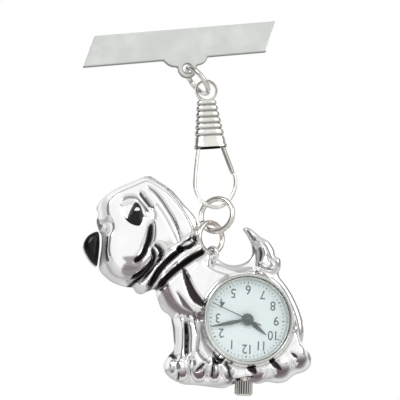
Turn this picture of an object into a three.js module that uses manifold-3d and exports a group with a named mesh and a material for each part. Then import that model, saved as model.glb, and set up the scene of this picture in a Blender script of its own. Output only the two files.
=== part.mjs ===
// A dog-shaped fob watch hanging from a bar brooch, in millimetres. +Z is up the hanging chain, +X is to
// the right seen from the front, and the front faces -Y. The origin is the middle of the bar's back face.
import * as THREE from "three";
import { mergeVertices } from "three/addons/utils/BufferGeometryUtils.js";
import Module from "manifold-3d";

const wasm = await Module();
wasm.setup();

// ---- driving dimensions ----------------------------------------------------------------------------

const CHAIN_Y = -0.5; // the plane that the bar's tab, the clip and the eyelet share

const BAR = { halfLength: 19.2, halfHeight: 3.2, slant: 1.55, thickness: 1.0 };
const TAB = { x: 0.8, z: -5.3, lobe: 2.0, hole: 1.0, left: -4.0, right: 5.3, shoulder: 1.65 };

const PIN = {
  hingeX: -13, hingeY: 1.75, wireY: 2.3, wire: 0.4, coil: 0.95, coilBore: 0.46, tipX: 14.3,
};
const BASE = { halfLength: 14.6, halfHeight: 1.6, back: 0.5, front: 0.03 };
const CATCH = {
  x: 12, housing: 1.5, bore: 1.1, roller: 1.04, rollerBore: 0.62, slot: 1.1, width: 1.2,
};

const UPPER_RING = { centre: [2.64, CHAIN_Y, -7.98], radius: 3.2, wire: 0.55, leanDeg: 57, twistDeg: -8 };
const MIDDLE_RING = { centre: [3.2, -0.9, -36.4], radius: 3.45, wire: 0.58, turnDeg: -30, leanDeg: 80 };
const LOWER_RING = { centre: [1.4, -0.9, -40.95], radius: 3.1, wire: 0.57, turnDeg: 32, leanDeg: 95 };

const CLIP_EYE = { x: 4.2, z: -10.3, radius: 2.1, strip: 0.3, width: 1.0 };
const SLEEVE = {
  top: -12.2, bottom: -22.3, topX: 4.0, topHalf: 1.95, bottomHalf: 3.45, wall: 0.4, depth: 0.5,
};
const SLEEVE_GROOVES = [-13.3, -14.6, -15.9, -17.2, -18.4, -19.8];
const SLEEVE_LEAN_DEG = 1.9;
const HOOK_WIRE = 0.43;
const GATE = { wire: 0.42, pivot: [5.7, -20.4] };

const CASE_OFFSET = [0.3, 0.2]; // the dog's drawing is set this far right and up on the chain
const CASE_BACK_Y = 2.3;
const FLANGE_Y = 0.7;
const HEIGHT = {
  legs: -2.6, torso: -3.8, head: -4.2, ear: -4.6, jaw: -2.3, collar: -3.0, tail: -0.7, cup: -4.9,
};
const EYELET = { x: 1.4, z: -44.35, radius: 1.42, wire: 0.42 };

const WATCH_CENTRE = [6.45, -58.55];
const WATCH_TURN_DEG = 189; // twelve o'clock points down and a little left, so the wearer reads it upright
const BORE = 8.75;
const BEZEL = { outer: 9.2, inner: 8.65, seatY: -4.03, frontY: -5.3 };
const DIAL = { radius: 8.68, back: -2.75, front: -3.05, hole: 0.85 };
const CROWN = { inner: 12.35, outer: 15.3, radius: 1.83, stemY: -1.4 };

// The going train, in teeth and modules: seconds to minutes is 60 to 1 and minutes to hours is 12 to 1.
const TRAIN = {
  rotor: { at: [4.03, 0.0], pinion: 6, module: 1.82 / 21 },
  intermediate: { at: [2.32, 0.62], wheel: 36, pinion: 6 },
  seconds: { wheel: 30, module: 2.4 / 18, pinion: 6, pinionModule: 2.34 / 25.5 },
  third: { at: [-2.026, 1.17], wheel: 45, pinion: 6 },
  centre: { wheel: 48, module: 2.34 / 27, cannon: 9, cannonModule: 2.2 / 18 },
  minute: { at: [-1.685, 1.414], wheel: 27, pinion: 8 },
  hour: { wheel: 32, module: 2.2 / 20 },
  setting: { at: [0.326, 2.575], wheel: 11 },
};
const TIME = { hour: 10, minute: 12.4, second: 18.75 };

// ---- finishes --------------------------------------------------------------------------------------

const finish = (color, metalness, roughness, extra = {}) =>
  new THREE.MeshStandardMaterial({ color, metalness, roughness, ...extra });
const FINISH = {
  satin: finish(0xc9cdc9, 1, 0.32),
  chrome: finish(0xdddde2, 1, 0.08),
  nickel: finish(0xcfc8bd, 1, 0.18),
  brass: finish(0xc8a24a, 1, 0.3),
  steel: finish(0xa8abae, 1, 0.35),
  enamel: finish(0x050506, 0, 0.1),
  dial: finish(0xe6f0f0, 0, 0.4),
  ink: finish(0x2b3134, 0.2, 0.4),
  glass: finish(0xf4fbff, 0, 0.02, { transparent: true, opacity: 0.15 }),
  plastic: finish(0xe8e6df, 0, 0.5),
  board: finish(0x1f6b3a, 0, 0.5),
  copper: finish(0xb5602f, 1, 0.35),
  rubber: finish(0x1a1a1a, 0, 0.8),
};

// ---- geometry helpers ------------------------------------------------------------------------------

const radians = THREE.MathUtils.degToRad;

/** A closed geometry as a solid with its faces pointing out. */
function solid(geometry) {
  const bare = geometry.clone();
  bare.deleteAttribute("normal");
  bare.deleteAttribute("uv");
  const merged = mergeVertices(bare, 1e-4);
  const triVerts = new Uint32Array(merged.index.array);
  const make = () =>
    new wasm.Manifold(
      new wasm.Mesh({ numProp: 3, vertProperties: merged.attributes.position.array, triVerts }),
    );
  const made = make();
  if (made.volume() > 0) return made;
  for (let i = 0; i < triVerts.length; i += 3)
    [triVerts[i + 1], triVerts[i + 2]] = [triVerts[i + 2], triVerts[i + 1]];
  return make();
}

const join = (...solids) => solids.reduce((whole, piece) => whole.add(piece));
const cut = (body, ...tools) => tools.reduce((whole, tool) => whole.subtract(tool), body);

/** Adds a solid to a group as a named mesh. */
function addNode(group, name, body, material) {
  const raw = body.getMesh();
  const geometry = new THREE.BufferGeometry();
  geometry.setAttribute("position", new THREE.BufferAttribute(new Float32Array(raw.vertProperties), 3));
  geometry.setIndex(new THREE.BufferAttribute(new Uint32Array(raw.triVerts), 1));
  geometry.computeVertexNormals();
  const mesh = new THREE.Mesh(geometry, material);
  mesh.name = name;
  group.add(mesh);
  return mesh;
}

/** A shape drawn in X and Z, extruded from its back face at yBack to its front face at yFront. */
function slab(shape, yBack, yFront, { bevel = 0, rounds = 2, curveSegments = 6 } = {}) {
  const geometry = new THREE.ExtrudeGeometry(shape, {
    depth: yBack - yFront - (bevel ? bevel : 0),
    bevelEnabled: bevel > 0,
    bevelThickness: bevel,
    bevelSize: bevel,
    bevelOffset: -bevel,
    bevelSegments: rounds,
    curveSegments,
  });
  geometry.rotateX(Math.PI / 2);
  geometry.translate(0, yBack, 0);
  if (!bevel) return solid(geometry);
  // The bevel also rounds the back edge, so the back bevel is cut off flush with the back face.
  return cut(solid(geometry), block([-60, 60], [yBack, yBack + 2 * bevel], [-90, 20]));
}

const outline = (points) => new THREE.Shape(points.map(([x, z]) => new THREE.Vector2(x, z)));

/** A closed smooth outline through points, with some extra points between each pair. */
function smoothOutline(points, perSpan = 2) {
  const corners = points.map(([x, z]) => new THREE.Vector3(x, z, 0));
  const curve = new THREE.CatmullRomCurve3(corners, true, "centripetal");
  const along = curve.getPoints(points.length * perSpan).slice(0, -1);
  return new THREE.Shape(along.map((p) => new THREE.Vector2(p.x, p.y)));
}

/** A box between pairs of limits. */
function block([x0, x1], [y0, y1], [z0, z1]) {
  const geometry = new THREE.BoxGeometry(x1 - x0, y1 - y0, z1 - z0);
  geometry.translate((x0 + x1) / 2, (y0 + y1) / 2, (z0 + z1) / 2);
  return solid(geometry);
}

/** A round bar along Y. */
function rodY(radius, yBack, yFront, [x, z] = [0, 0], sides = 16) {
  const geometry = new THREE.CylinderGeometry(radius, radius, yBack - yFront, sides);
  geometry.translate(x, (yBack + yFront) / 2, z);
  return solid(geometry);
}

/** A round bar along Z at a place in X and Y. */
function rodZ(radius, z0, z1, [x, y] = [0, 0], sides = 16) {
  const geometry = new THREE.CylinderGeometry(radius, radius, z1 - z0, sides);
  geometry.rotateX(Math.PI / 2);
  geometry.translate(x, y, (z0 + z1) / 2);
  return solid(geometry);
}

/** A body of revolution about Y from [radius, y] points; a ring's points close on themselves. */
function turned(points, segments = 36) {
  const closed = points[0][0] > 0 ? [...points, points[0]] : points;
  return solid(new THREE.LatheGeometry(closed.map(([r, y]) => new THREE.Vector2(r, y)), segments));
}

/** A body of revolution about Z from [radius, z] points. */
function turnedZ(points, [x, y], segments = 24) {
  const closed = points[0][0] > 0 ? [...points, points[0]] : points;
  const geometry = new THREE.LatheGeometry(closed.map(([r, z]) => new THREE.Vector2(r, z)), segments);
  geometry.rotateX(Math.PI / 2);
  geometry.translate(x, y, 0);
  return solid(geometry);
}

/** A round wire along a smooth path of [x, y, z] points. */
function wire(points, radius, steps, halfSides = 4) {
  const section = new THREE.Shape().absarc(0, 0, radius, 0, 2 * Math.PI);
  const along = points.map((p) => new THREE.Vector3(...p));
  const extrudePath = new THREE.CatmullRomCurve3(along, false, "centripetal");
  return solid(
    new THREE.ExtrudeGeometry(section, { steps, bevelEnabled: false, extrudePath, curveSegments: halfSides }),
  );
}

/** A spur gear's outline: straight-flanked teeth, the first one at angle phase from +X. */
function gearOutline(teeth, module, phase, [x, z] = [0, 0]) {
  const pitch = (2 * Math.PI) / teeth;
  const root = (module * teeth) / 2 - 1.2 * module;
  const tip = (module * teeth) / 2 + 0.8 * module;
  const flank = [
    [root, -0.28],
    [tip, 0],
    [root, 0.28],
  ];
  const points = [];
  for (let tooth = 0; tooth < teeth; tooth++)
    for (const [radius, share] of flank) {
      const angle = phase + (tooth + share) * pitch;
      points.push([x + radius * Math.cos(angle), z + radius * Math.sin(angle)]);
    }
  return outline(points);
}

const direction = (from, to) => Math.atan2(to[1] - from[1], to[0] - from[0]);

/** Gear slabs for a meshing pair: a tooth of the first meets a gap of the second on their centre line. */
function gearPair(first, second) {
  const towards = direction(first.at, second.at);
  const gap = Math.PI / second.teeth;
  return [
    slab(gearOutline(first.teeth, first.module, towards, first.at), ...first.y),
    slab(gearOutline(second.teeth, first.module, towards + Math.PI + gap, second.at), ...second.y),
  ];
}

/** A closed round wire ring. */
function wireRing({ radius, wire: thickness }) {
  return solid(new THREE.TorusGeometry(radius, thickness, 7, 26));
}

// ---- bar and brooch pin ----------------------------------------------------------------------------

function barOutline() {
  const { halfLength: l, halfHeight: h, slant: s } = BAR;
  const shape = new THREE.Shape();
  shape.moveTo(-l + s, h);
  shape.lineTo(-l - s, -h);
  shape.lineTo(TAB.left, -h);
  shape.quadraticCurveTo(TAB.left + 0.6, -h - 1.3, TAB.left + 1.4, -h - 0.9 * TAB.shoulder);
  shape.lineTo(TAB.x - TAB.lobe, -h - TAB.shoulder);
  shape.absarc(TAB.x, TAB.z, TAB.lobe, radians(172), radians(368), false);
  shape.lineTo(TAB.right - 1.3, -h - 0.95 * TAB.shoulder);
  shape.quadraticCurveTo(TAB.right - 0.3, -h - 1.3, TAB.right, -h);
  shape.lineTo(l - s, -h);
  shape.lineTo(l + s, h);
  shape.closePath();
  shape.holes.push(new THREE.Path().absarc(TAB.x, TAB.z, TAB.hole, 0, 2 * Math.PI, true));
  return shape;
}

function pinBase() {
  const { halfLength: l, halfHeight: h } = BASE;
  const strip = new THREE.Shape();
  strip.moveTo(-l + h, -h);
  strip.lineTo(l - h, -h);
  strip.absarc(l - h, 0, h, -Math.PI / 2, Math.PI / 2, false);
  strip.lineTo(-l + h, h);
  strip.absarc(-l + h, 0, h, Math.PI / 2, 1.5 * Math.PI, false);
  const ear = (z) =>
    join(
      block([PIN.hingeX - 0.95, PIN.hingeX + 0.95], [BASE.back - 0.1, PIN.hingeY], [z - 0.25, z + 0.25]),
      rodZ(0.95, z - 0.25, z + 0.25, [PIN.hingeX, PIN.hingeY], 20),
    );
  const body = join(slab(strip, BASE.back, BASE.front, { curveSegments: 8 }), ear(1.3), ear(-1.3));
  return cut(body, rodZ(0.42, -2, 2, [PIN.hingeX, PIN.hingeY]));
}

function hingeRivet() {
  const shank = rodZ(0.38, -1.75, 1.75, [PIN.hingeX, PIN.hingeY]);
  const head = (z0, z1) => rodZ(0.62, z0, z1, [PIN.hingeX, PIN.hingeY]);
  return join(shank, head(1.58, 1.85), head(-1.85, -1.58));
}

function pinStem() {
  const coil = cut(
    rodZ(PIN.coil, -0.9, 0.9, [PIN.hingeX, PIN.hingeY], 20),
    rodZ(PIN.coilBore, -1, 1, [PIN.hingeX, PIN.hingeY], 20),
  );
  const wireLength = PIN.tipX - PIN.hingeX;
  const shaft = new THREE.LatheGeometry(
    [
      [0, 0.2],
      [PIN.wire, 0.2],
      [PIN.wire, wireLength - 2.6],
      [0.18, wireLength - 0.6],
      [0, wireLength],
    ].map(([r, along]) => new THREE.Vector2(r, along)),
    12,
  );
  shaft.rotateZ(-Math.PI / 2);
  shaft.translate(PIN.hingeX, PIN.wireY, 0);
  return cut(join(coil, solid(shaft)), rodZ(PIN.coilBore, -1, 1, [PIN.hingeX, PIN.hingeY], 20));
}

/** A C-shaped sleeve round the pin's line, open away from the bar. */
function openSleeve(outer, inner, slot, x0, x1) {
  const bar = (radius, from, to) => {
    const geometry = new THREE.CylinderGeometry(radius, radius, to - from, 24);
    geometry.rotateZ(Math.PI / 2);
    geometry.translate((from + to) / 2, PIN.wireY, 0);
    return solid(geometry);
  };
  return cut(
    bar(outer, x0, x1),
    bar(inner, x0 - 1, x1 + 1),
    block([x0 - 1, x1 + 1], [PIN.wireY, PIN.wireY + 3], [-slot / 2, slot / 2]),
  );
}

function catchHousing() {
  const half = CATCH.width / 2;
  const foot = block([CATCH.x - half, CATCH.x + half], [BASE.back + 0.03, 1.15], [-0.8, 0.8]);
  const sleeve = openSleeve(CATCH.housing, CATCH.bore, CATCH.slot + 0.2, CATCH.x - half, CATCH.x + half);
  const bore = new THREE.CylinderGeometry(CATCH.bore, CATCH.bore, 4, 24);
  bore.rotateZ(Math.PI / 2);
  bore.translate(CATCH.x, PIN.wireY, 0);
  return join(sleeve, cut(foot, solid(bore)));
}

function catchRoller() {
  const half = CATCH.width / 2;
  const [from, to] = [CATCH.x - half - 0.3, CATCH.x + half + 0.75];
  const sleeve = openSleeve(CATCH.roller, CATCH.rollerBore, CATCH.slot, from, to);
  const lever = block([to - 0.6, to], [PIN.wireY - 0.5, PIN.wireY + 0.5], [-2.3, -0.8]);
  return join(sleeve, lever);
}

function brooch() {
  const group = new THREE.Group();
  addNode(group, "pin_bar", slab(barOutline(), 0, -BAR.thickness, { curveSegments: 14 }), FINISH.satin);
  addNode(group, "pin_base", pinBase(), FINISH.nickel);
  addNode(group, "hinge_rivet", hingeRivet(), FINISH.nickel);
  addNode(group, "pin_stem", pinStem(), FINISH.steel);
  addNode(group, "catch_housing", catchHousing(), FINISH.nickel);
  addNode(group, "catch_roller", catchRoller(), FINISH.nickel);
  return group;
}

// ---- chain -----------------------------------------------------------------------------------------

/** A jump ring in its own group, placed by its centre, its turn about Z and its lean. */
function jumpRing(name, ring) {
  const group = new THREE.Group();
  group.position.set(...ring.centre);
  if (ring.twistDeg) group.rotation.set(radians(ring.twistDeg), radians(ring.leanDeg), 0, "YXZ");
  else group.rotation.set(radians(ring.leanDeg), 0, radians(ring.turnDeg), "ZXY");
  addNode(group, name, wireRing(ring), FINISH.nickel);
  return group;
}

/** The clip's ribbed sleeve: a flattened taper with thumb grooves, hollow from its mouth. */
function clipSleeve() {
  const { top, bottom, topHalf, bottomHalf, wall, depth } = SLEEVE;
  const half = (z) => topHalf + ((bottomHalf - topHalf) * (top - z)) / (top - bottom);
  const groove = 0.3;
  const outside = [[0, top], [half(top) - 0.4, top], [half(top), top - 0.35]];
  for (const z of SLEEVE_GROOVES)
    outside.push([half(z), z + groove], [half(z) - groove, z], [half(z), z - groove]);
  const inside = [
    [half(bottom), bottom],
    [half(bottom) - wall, bottom],
    [half(top - 1.6) - wall, top - 1.6],
    [0, top - 1.4],
  ];
  const geometry = new THREE.LatheGeometry(
    [...outside, ...inside].map(([r, z]) => new THREE.Vector2(r, z)),
    16,
  );
  geometry.scale(1, 1, -depth);
  geometry.rotateX(Math.PI / 2);
  geometry.translate(0, 0, -top);
  geometry.rotateY(radians(SLEEVE_LEAN_DEG));
  geometry.translate(SLEEVE.topX, CHAIN_Y, top);
  const eye = new THREE.TorusGeometry(CLIP_EYE.radius, CLIP_EYE.strip, 6, 20);
  eye.scale(1, 1, CLIP_EYE.width / CLIP_EYE.strip);
  eye.rotateX(Math.PI / 2);
  eye.translate(CLIP_EYE.x, CHAIN_Y, CLIP_EYE.z);
  return join(solid(geometry), solid(eye));
}

function hookWire() {
  const path = [
    [1.75, -18.5],
    [1.45, -20.5],
    [1.08, -22.4],
    [0.5, -24.6],
    [-0.15, -27.5],
    [-0.55, -30],
    [-0.4, -31.3],
    [0.2, -32.75],
    [1.25, -33.95],
    [2.5, -34.6],
    [3.75, -34.8],
    [5.0, -34.45],
    [6.1, -33.65],
    [7.05, -32.5],
    [7.75, -31],
    [8.0, -29.5],
    [7.85, -28.3],
  ];
  return wire(path.map(([x, z]) => [x, CHAIN_Y, z]), HOOK_WIRE, 30);
}

function gateWire() {
  const path = [
    [GATE.pivot[0], GATE.pivot[1] + 0.1],
    [6.15, -22.1],
    [6.7, -24.3],
    [7.2, -26.3],
    [7.62, -28.0],
  ];
  const hub = rodY(0.62, CHAIN_Y + 0.45, CHAIN_Y - 0.45, GATE.pivot, 16);
  const arm = wire(path.map(([x, z]) => [x, CHAIN_Y, z]), GATE.wire, 8);
  return cut(join(hub, arm), rodY(0.33, CHAIN_Y + 1, CHAIN_Y - 1, GATE.pivot, 12));
}

function clip() {
  const group = new THREE.Group();
  const pin = (radius, reach) => rodY(radius, CHAIN_Y + reach, CHAIN_Y - reach, GATE.pivot, 12);
  addNode(group, "clip_sleeve", cut(clipSleeve(), pin(0.29, 2)), FINISH.nickel);
  addNode(group, "clip_hook_wire", hookWire(), FINISH.nickel);
  addNode(group, "clip_gate", gateWire(), FINISH.nickel);
  addNode(group, "gate_pin", pin(0.27, 1.25), FINISH.nickel);
  return group;
}

// ---- dog-shaped case -------------------------------------------------------------------------------

/** The casting's whole silhouette, from the top of the head round by the nose, chest and paws to the tail. */
const SILHOUETTE = [
  [-10.0, -26.85], [-13.6, -27.8], [-17.0, -28.9], [-19.9, -30.65], [-21.3, -32.4], [-21.1, -33.8],
  [-21.6, -35.2], [-21.3, -37.2], [-20.9, -38.2], [-21.2, -40.6], [-21.9, -43.4], [-22.1, -45.0],
  [-21.4, -46.3], [-19.65, -48.0], [-17.3, -49.1], [-15.8, -49.5], [-15.2, -50.5], [-14.1, -51.0],
  [-12.9, -50.6], [-11.3, -50.3], [-11.1, -51.6], [-10.7, -53.4], [-10.2, -54.7], [-8.9, -55.9],
  [-8.6, -57.6], [-8.6, -60.2], [-8.8, -62.7], [-9.8, -63.8], [-11.0, -65.1], [-11.3, -66.6],
  [-10.8, -67.9], [-9.6, -69.0], [-7.6, -70.1], [-5.4, -70.5], [-3.3, -71.0], [-1.2, -71.5],
  [0.6, -71.75], [2.2, -71.3], [4.0, -70.5], [5.6, -70.9], [7.4, -71.7], [9.5, -71.5],
  [11.5, -72.0], [13.3, -71.9], [15.2, -70.8], [17.6, -70.25], [18.9, -69.0], [19.0, -66.9],
  [17.7, -64.9], [18.25, -62.4], [18.2, -59.0], [17.1, -55.0], [15.8, -52.2], [14.6, -50.1],
  [15.2, -48.4], [15.3, -46.7], [14.4, -46.1], [14.3, -44.8], [13.4, -42.9], [12.1, -42.0],
  [10.9, -40.8], [9.7, -39.7], [8.4, -39.7], [9.1, -41.3], [9.7, -43.2], [9.6, -45.2],
  [8.6, -46.4], [6.4, -47.1], [4.2, -46.7], [2.3, -45.4], [0.9, -43.8], [0.0, -42.6],
  [-0.6, -41.3], [-0.9, -38.4], [-1.4, -36.1], [-3.35, -33.3], [-5.5, -30.2], [-7.9, -28.2],
];

const RELIEF = {
  head: [
    [-10.6, -28.4], [-13.2, -29.1], [-17.0, -30.4], [-19.6, -32.0], [-20.0, -34.0], [-19.5, -36.0],
    [-20.2, -38.6], [-20.4, -41.2], [-19.8, -44.8], [-18.6, -46.9], [-16.6, -47.9], [-13.6, -46.0],
    [-11.9, -44.2], [-11.4, -42.0], [-11.1, -39.4], [-10.2, -36.8], [-10.0, -33.6], [-11.2, -30.6],
  ],
  ear: [
    [-10.3, -28.9], [-8.6, -29.3], [-6.2, -31.4], [-4.2, -34.6], [-2.6, -37.8], [-2.5, -40.0],
    [-3.8, -41.3], [-6.0, -42.3], [-8.1, -43.3], [-8.8, -41.4], [-10.2, -40.4], [-10.1, -38.0],
    [-9.1, -35.4], [-9.5, -32.6], [-10.7, -30.2],
  ],
  jaw: [
    [-14.9, -49.4], [-12.8, -47.2], [-10.6, -45.0], [-9.9, -42.6], [-9.1, -42.4], [-9.3, -44.3],
    [-10.8, -46.9], [-12.4, -49.4], [-13.7, -50.2],
  ],
  collar: [
    [-10.6, -49.4], [-9.4, -47.0], [-6.4, -44.1], [-3.4, -42.9], [-1.9, -42.8], [-1.9, -43.3],
    [-4.6, -44.5], [-7.2, -46.1], [-9.4, -48.1],
  ],
  legs: [
    [-10.0, -51.6], [-8.4, -48.8], [-5.0, -46.2], [-1.6, -44.9], [0.0, -45.4], [2.0, -46.9],
    [5.0, -48.2], [9.8, -48.3], [12.8, -50.2], [15.3, -53.0], [16.7, -57.2], [16.9, -61.2],
    [16.4, -64.4], [17.6, -66.4], [17.5, -68.6], [15.2, -69.6], [12.8, -70.7], [9.8, -70.3],
    [7.2, -70.2], [4.2, -69.2], [1.4, -70.4], [-1.4, -70.2], [-5.0, -69.3], [-8.6, -68.5],
    [-10.0, -66.6], [-9.0, -64.6], [-7.7, -62.6], [-7.5, -58.4], [-7.9, -55.6], [-9.2, -53.8],
  ],
  torso: [
    [-9.2, -51.2], [-7.2, -48.4], [-4.4, -46.9], [-1.4, -46.4], [0.8, -47.2], [3.4, -48.7],
    [8.0, -49.2], [11.8, -50.6], [14.6, -53.8], [15.8, -58.0], [15.6, -62.0], [13.6, -66.0],
    [10.2, -67.6], [5.8, -67.8], [1.6, -66.4], [-1.4, -63.4], [-2.8, -60.0], [-3.6, -57.4],
    [-5.4, -55.8], [-7.8, -54.0],
  ],
  tail: [
    [9.7, -40.6], [10.9, -42.3], [12.6, -43.4], [13.2, -45.2], [13.8, -47.4], [13.6, -49.3],
    [11.6, -48.2], [10.0, -47.2], [10.8, -45.4], [10.9, -43.6], [10.3, -41.9],
  ],
};

const TOES = [
  [-8.5, -66.6, 1.4], [-5.2, -66.9, 1.9], [-1.9, -67.9, 1.6],
  [0.9, -68.2, 1.5], [13.0, -68.5, 1.6], [16.1, -67.1, 1.4],
];

/** The watch's own frame, dial centre at the origin and twelve o'clock up, placed in the dog's frame. */
const watchInDog = new THREE.Matrix4()
  .makeRotationY(radians(WATCH_TURN_DEG))
  .setPosition(WATCH_CENTRE[0] - CASE_OFFSET[0], 0, WATCH_CENTRE[1] - CASE_OFFSET[1]);

const inDog = (body) => body.transform(Array.from(watchInDog.elements));

function eyelet() {
  const geometry = new THREE.TorusGeometry(EYELET.radius, EYELET.wire, 7, 18);
  geometry.rotateY(Math.PI / 2);
  geometry.rotateZ(radians(LOWER_RING.turnDeg));
  geometry.translate(EYELET.x - CASE_OFFSET[0], CHAIN_Y, EYELET.z - CASE_OFFSET[1]);
  return solid(geometry);
}

function caseBody() {
  const relief = (name, top, bevel) =>
    slab(smoothOutline(RELIEF[name], 1), FLANGE_Y + 0.4, top, { bevel, rounds: Math.ceil(bevel) });
  const toe = ([x, z, r]) => {
    const geometry = new THREE.SphereGeometry(r, 10, 5);
    geometry.scale(1, 1.6, 1);
    geometry.translate(x, HEIGHT.legs + r, z);
    return solid(geometry);
  };
  const whole = join(
    slab(smoothOutline(SILHOUETTE, 1), CASE_BACK_Y, FLANGE_Y),
    relief("legs", HEIGHT.legs, 1.2),
    relief("torso", HEIGHT.torso, 1.4),
    relief("head", HEIGHT.head, 0.5),
    relief("ear", HEIGHT.ear, 0.5),
    relief("jaw", HEIGHT.jaw, 0.2),
    relief("collar", HEIGHT.collar, 0.05),
    relief("tail", HEIGHT.tail, 0.05),
    inDog(rodY(9.75, CASE_BACK_Y - 0.5, HEIGHT.cup, [0, 0], 36)),
    eyelet(),
    ...TOES.map(toe),
  );
  const stemHole = rodZ(0.94, 8, 14, [0, CROWN.stemY], 16);
  const crownRoom = rodZ(2.15, 12.1, 17, [0, CROWN.stemY], 20);
  return cut(
    whole,
    inDog(rodY(BORE, 5, BEZEL.seatY, [0, 0], 36)),
    inDog(rodY(BEZEL.outer + 0.03, BEZEL.seatY + 0.05, -8, [0, 0], 36)),
    inDog(turned([[8.83, 1.98], [9.2, 1.98], [9.2, 3], [8.83, 3]])),
    inDog(stemHole),
    inDog(crownRoom),
  );
}

/** The nose: a domed drop of enamel on the muzzle's tip, or that drop grown to cut its seat. */
function nose(grow = 0) {
  const drop = smoothOutline([
    [-21.45 + grow, -37.35 + grow], [-23.2, -37.8 + grow], [-24.4, -39.1], [-24.6, -40.6], [-23.7, -42.9],
    [-22.5, -44.2 - grow], [-22.1 + grow, -43.4], [-21.5 + grow, -41.0], [-21.25 + grow, -39.0],
  ]);
  return slab(drop, CASE_BACK_Y - 0.3 + grow, -1.6 - grow, { bevel: 0.2, rounds: 1 });
}

/** The pupil: a thin fill of enamel in its own pocket in the face. */
const PUPIL = [
  [-12.9, -32.3], [-12.05, -33.1], [-12.15, -34.6], [-12.4, -36.5], [-13.6, -36.5], [-14.9, -35.6],
  [-14.7, -34.4],
];

function dog() {
  const group = new THREE.Group();
  group.position.set(CASE_OFFSET[0], 0, CASE_OFFSET[1]);
  const pupil = (grow, front) => {
    const grown = PUPIL.map(([x, z]) => [-13.3 + (x + 13.3) * grow, -34.7 + (z + 34.7) * grow]);
    return slab(smoothOutline(grown), HEIGHT.head + 0.5, front);
  };
  addNode(group, "case_body", cut(caseBody(), pupil(1.04, -8), nose(0.05)), FINISH.chrome);
  addNode(group, "nose_enamel", nose(), FINISH.enamel);
  addNode(group, "eye_enamel", pupil(1, HEIGHT.head - 0.15), FINISH.enamel);
  return group;
}

// ---- watch: everything below is drawn in the watch's own frame -------------------------------------

const CENTRE = [0, 0];
const LAYER = {
  hourWheel: [-2.4, -2.6],
  motionWheel: [-2.0, -2.2],
  minutePinion: [-2.15, -2.62],
  plate: [-0.9, -1.9],
  centreWheel: [-0.57, -0.75],
  thirdPinion: [-0.25, -0.8],
  thirdWheel: [-0.12, -0.3],
  secondsPinion: [0.15, -0.34],
  secondsWheel: [0.28, 0.1],
  intermediatePinion: [0.45, 0.05],
  intermediateWheel: [0.6, 0.42],
  rotorPinion: [0.64, 0.28],
  bridge: [1.2, 0.75],
  hourHand: [-3.33, -3.45],
  minuteHand: [-3.58, -3.7],
  secondHand: [-3.9, -3.99],
};
const ARBOR = 0.14;
const POST = 0.24; // the fixed posts that the minute and setting wheels turn on
const BATTERY = { at: [-2.38, -4.68], radius: 2.9, y: [0.6, -1.5] };
const COIL = { x: 6.0, winding: [-3.2, 2.6], core: [-3.9, 3.3], y: -0.05, radius: 0.75 };
const CROWN_FLUTES = 18;
const SCREWS = [[-4.9, 3.9], [1.0, -2.55], [5.0, 4.6]];

/** Angle of a hand or mark in the watch's frame, clockwise from twelve, as a direction [x, z]. */
const clock = (turns) => [Math.sin(2 * Math.PI * turns), Math.cos(2 * Math.PI * turns)];

/** A hand's outline pointing along a clock direction: [along, half width] from tail to tip. */
function handOutline(turns, profile) {
  const [sx, sz] = clock(turns);
  const place = ([along, half]) => [along * sx + half * sz, along * sz - half * sx];
  const left = profile.map(([along, half]) => place([along, -half]));
  const right = profile.map(([along, half]) => place([along, half])).reverse();
  return outline([...left, ...right]);
}

function hand(turns, profile, hub, bore, [back, front]) {
  const blade = slab(handOutline(turns, profile), back, front);
  return cut(join(blade, rodY(hub, back, front, CENTRE, 20)), rodY(bore, 5, -5, CENTRE, 20));
}

function hands(group) {
  const minutes = TIME.minute + TIME.second / 60;
  const hourBlade = [[-1, 0.2], [0.6, 0.24], [1.6, 0.42], [4.4, 0.16], [4.9, 0.04]];
  const minuteBlade = [[-1, 0.2], [0.6, 0.2], [2.6, 0.36], [6.8, 0.12], [7.45, 0.04]];
  const secondBlade = [[-2.95, 0.14], [0, 0.1], [7.9, 0.05]];
  const hour = hand((TIME.hour + minutes / 60) / 12, hourBlade, 1.0, 0.72, LAYER.hourHand);
  const minute = hand(minutes / 60, minuteBlade, 1.22, 0.45, LAYER.minuteHand);
  const second = hand(TIME.second / 60, secondBlade, 0.5, 0.2, LAYER.secondHand);
  addNode(group, "hour_hand", hour, FINISH.ink);
  addNode(group, "minute_hand", minute, FINISH.ink);
  addNode(group, "second_hand", second, FINISH.ink);
}

/** What gearPair needs of one gear of the train. */
function gear(name, at, y, teeth = TRAIN[name].wheel, module = TRAIN[name].module) {
  return { at, teeth, module, y };
}

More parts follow.
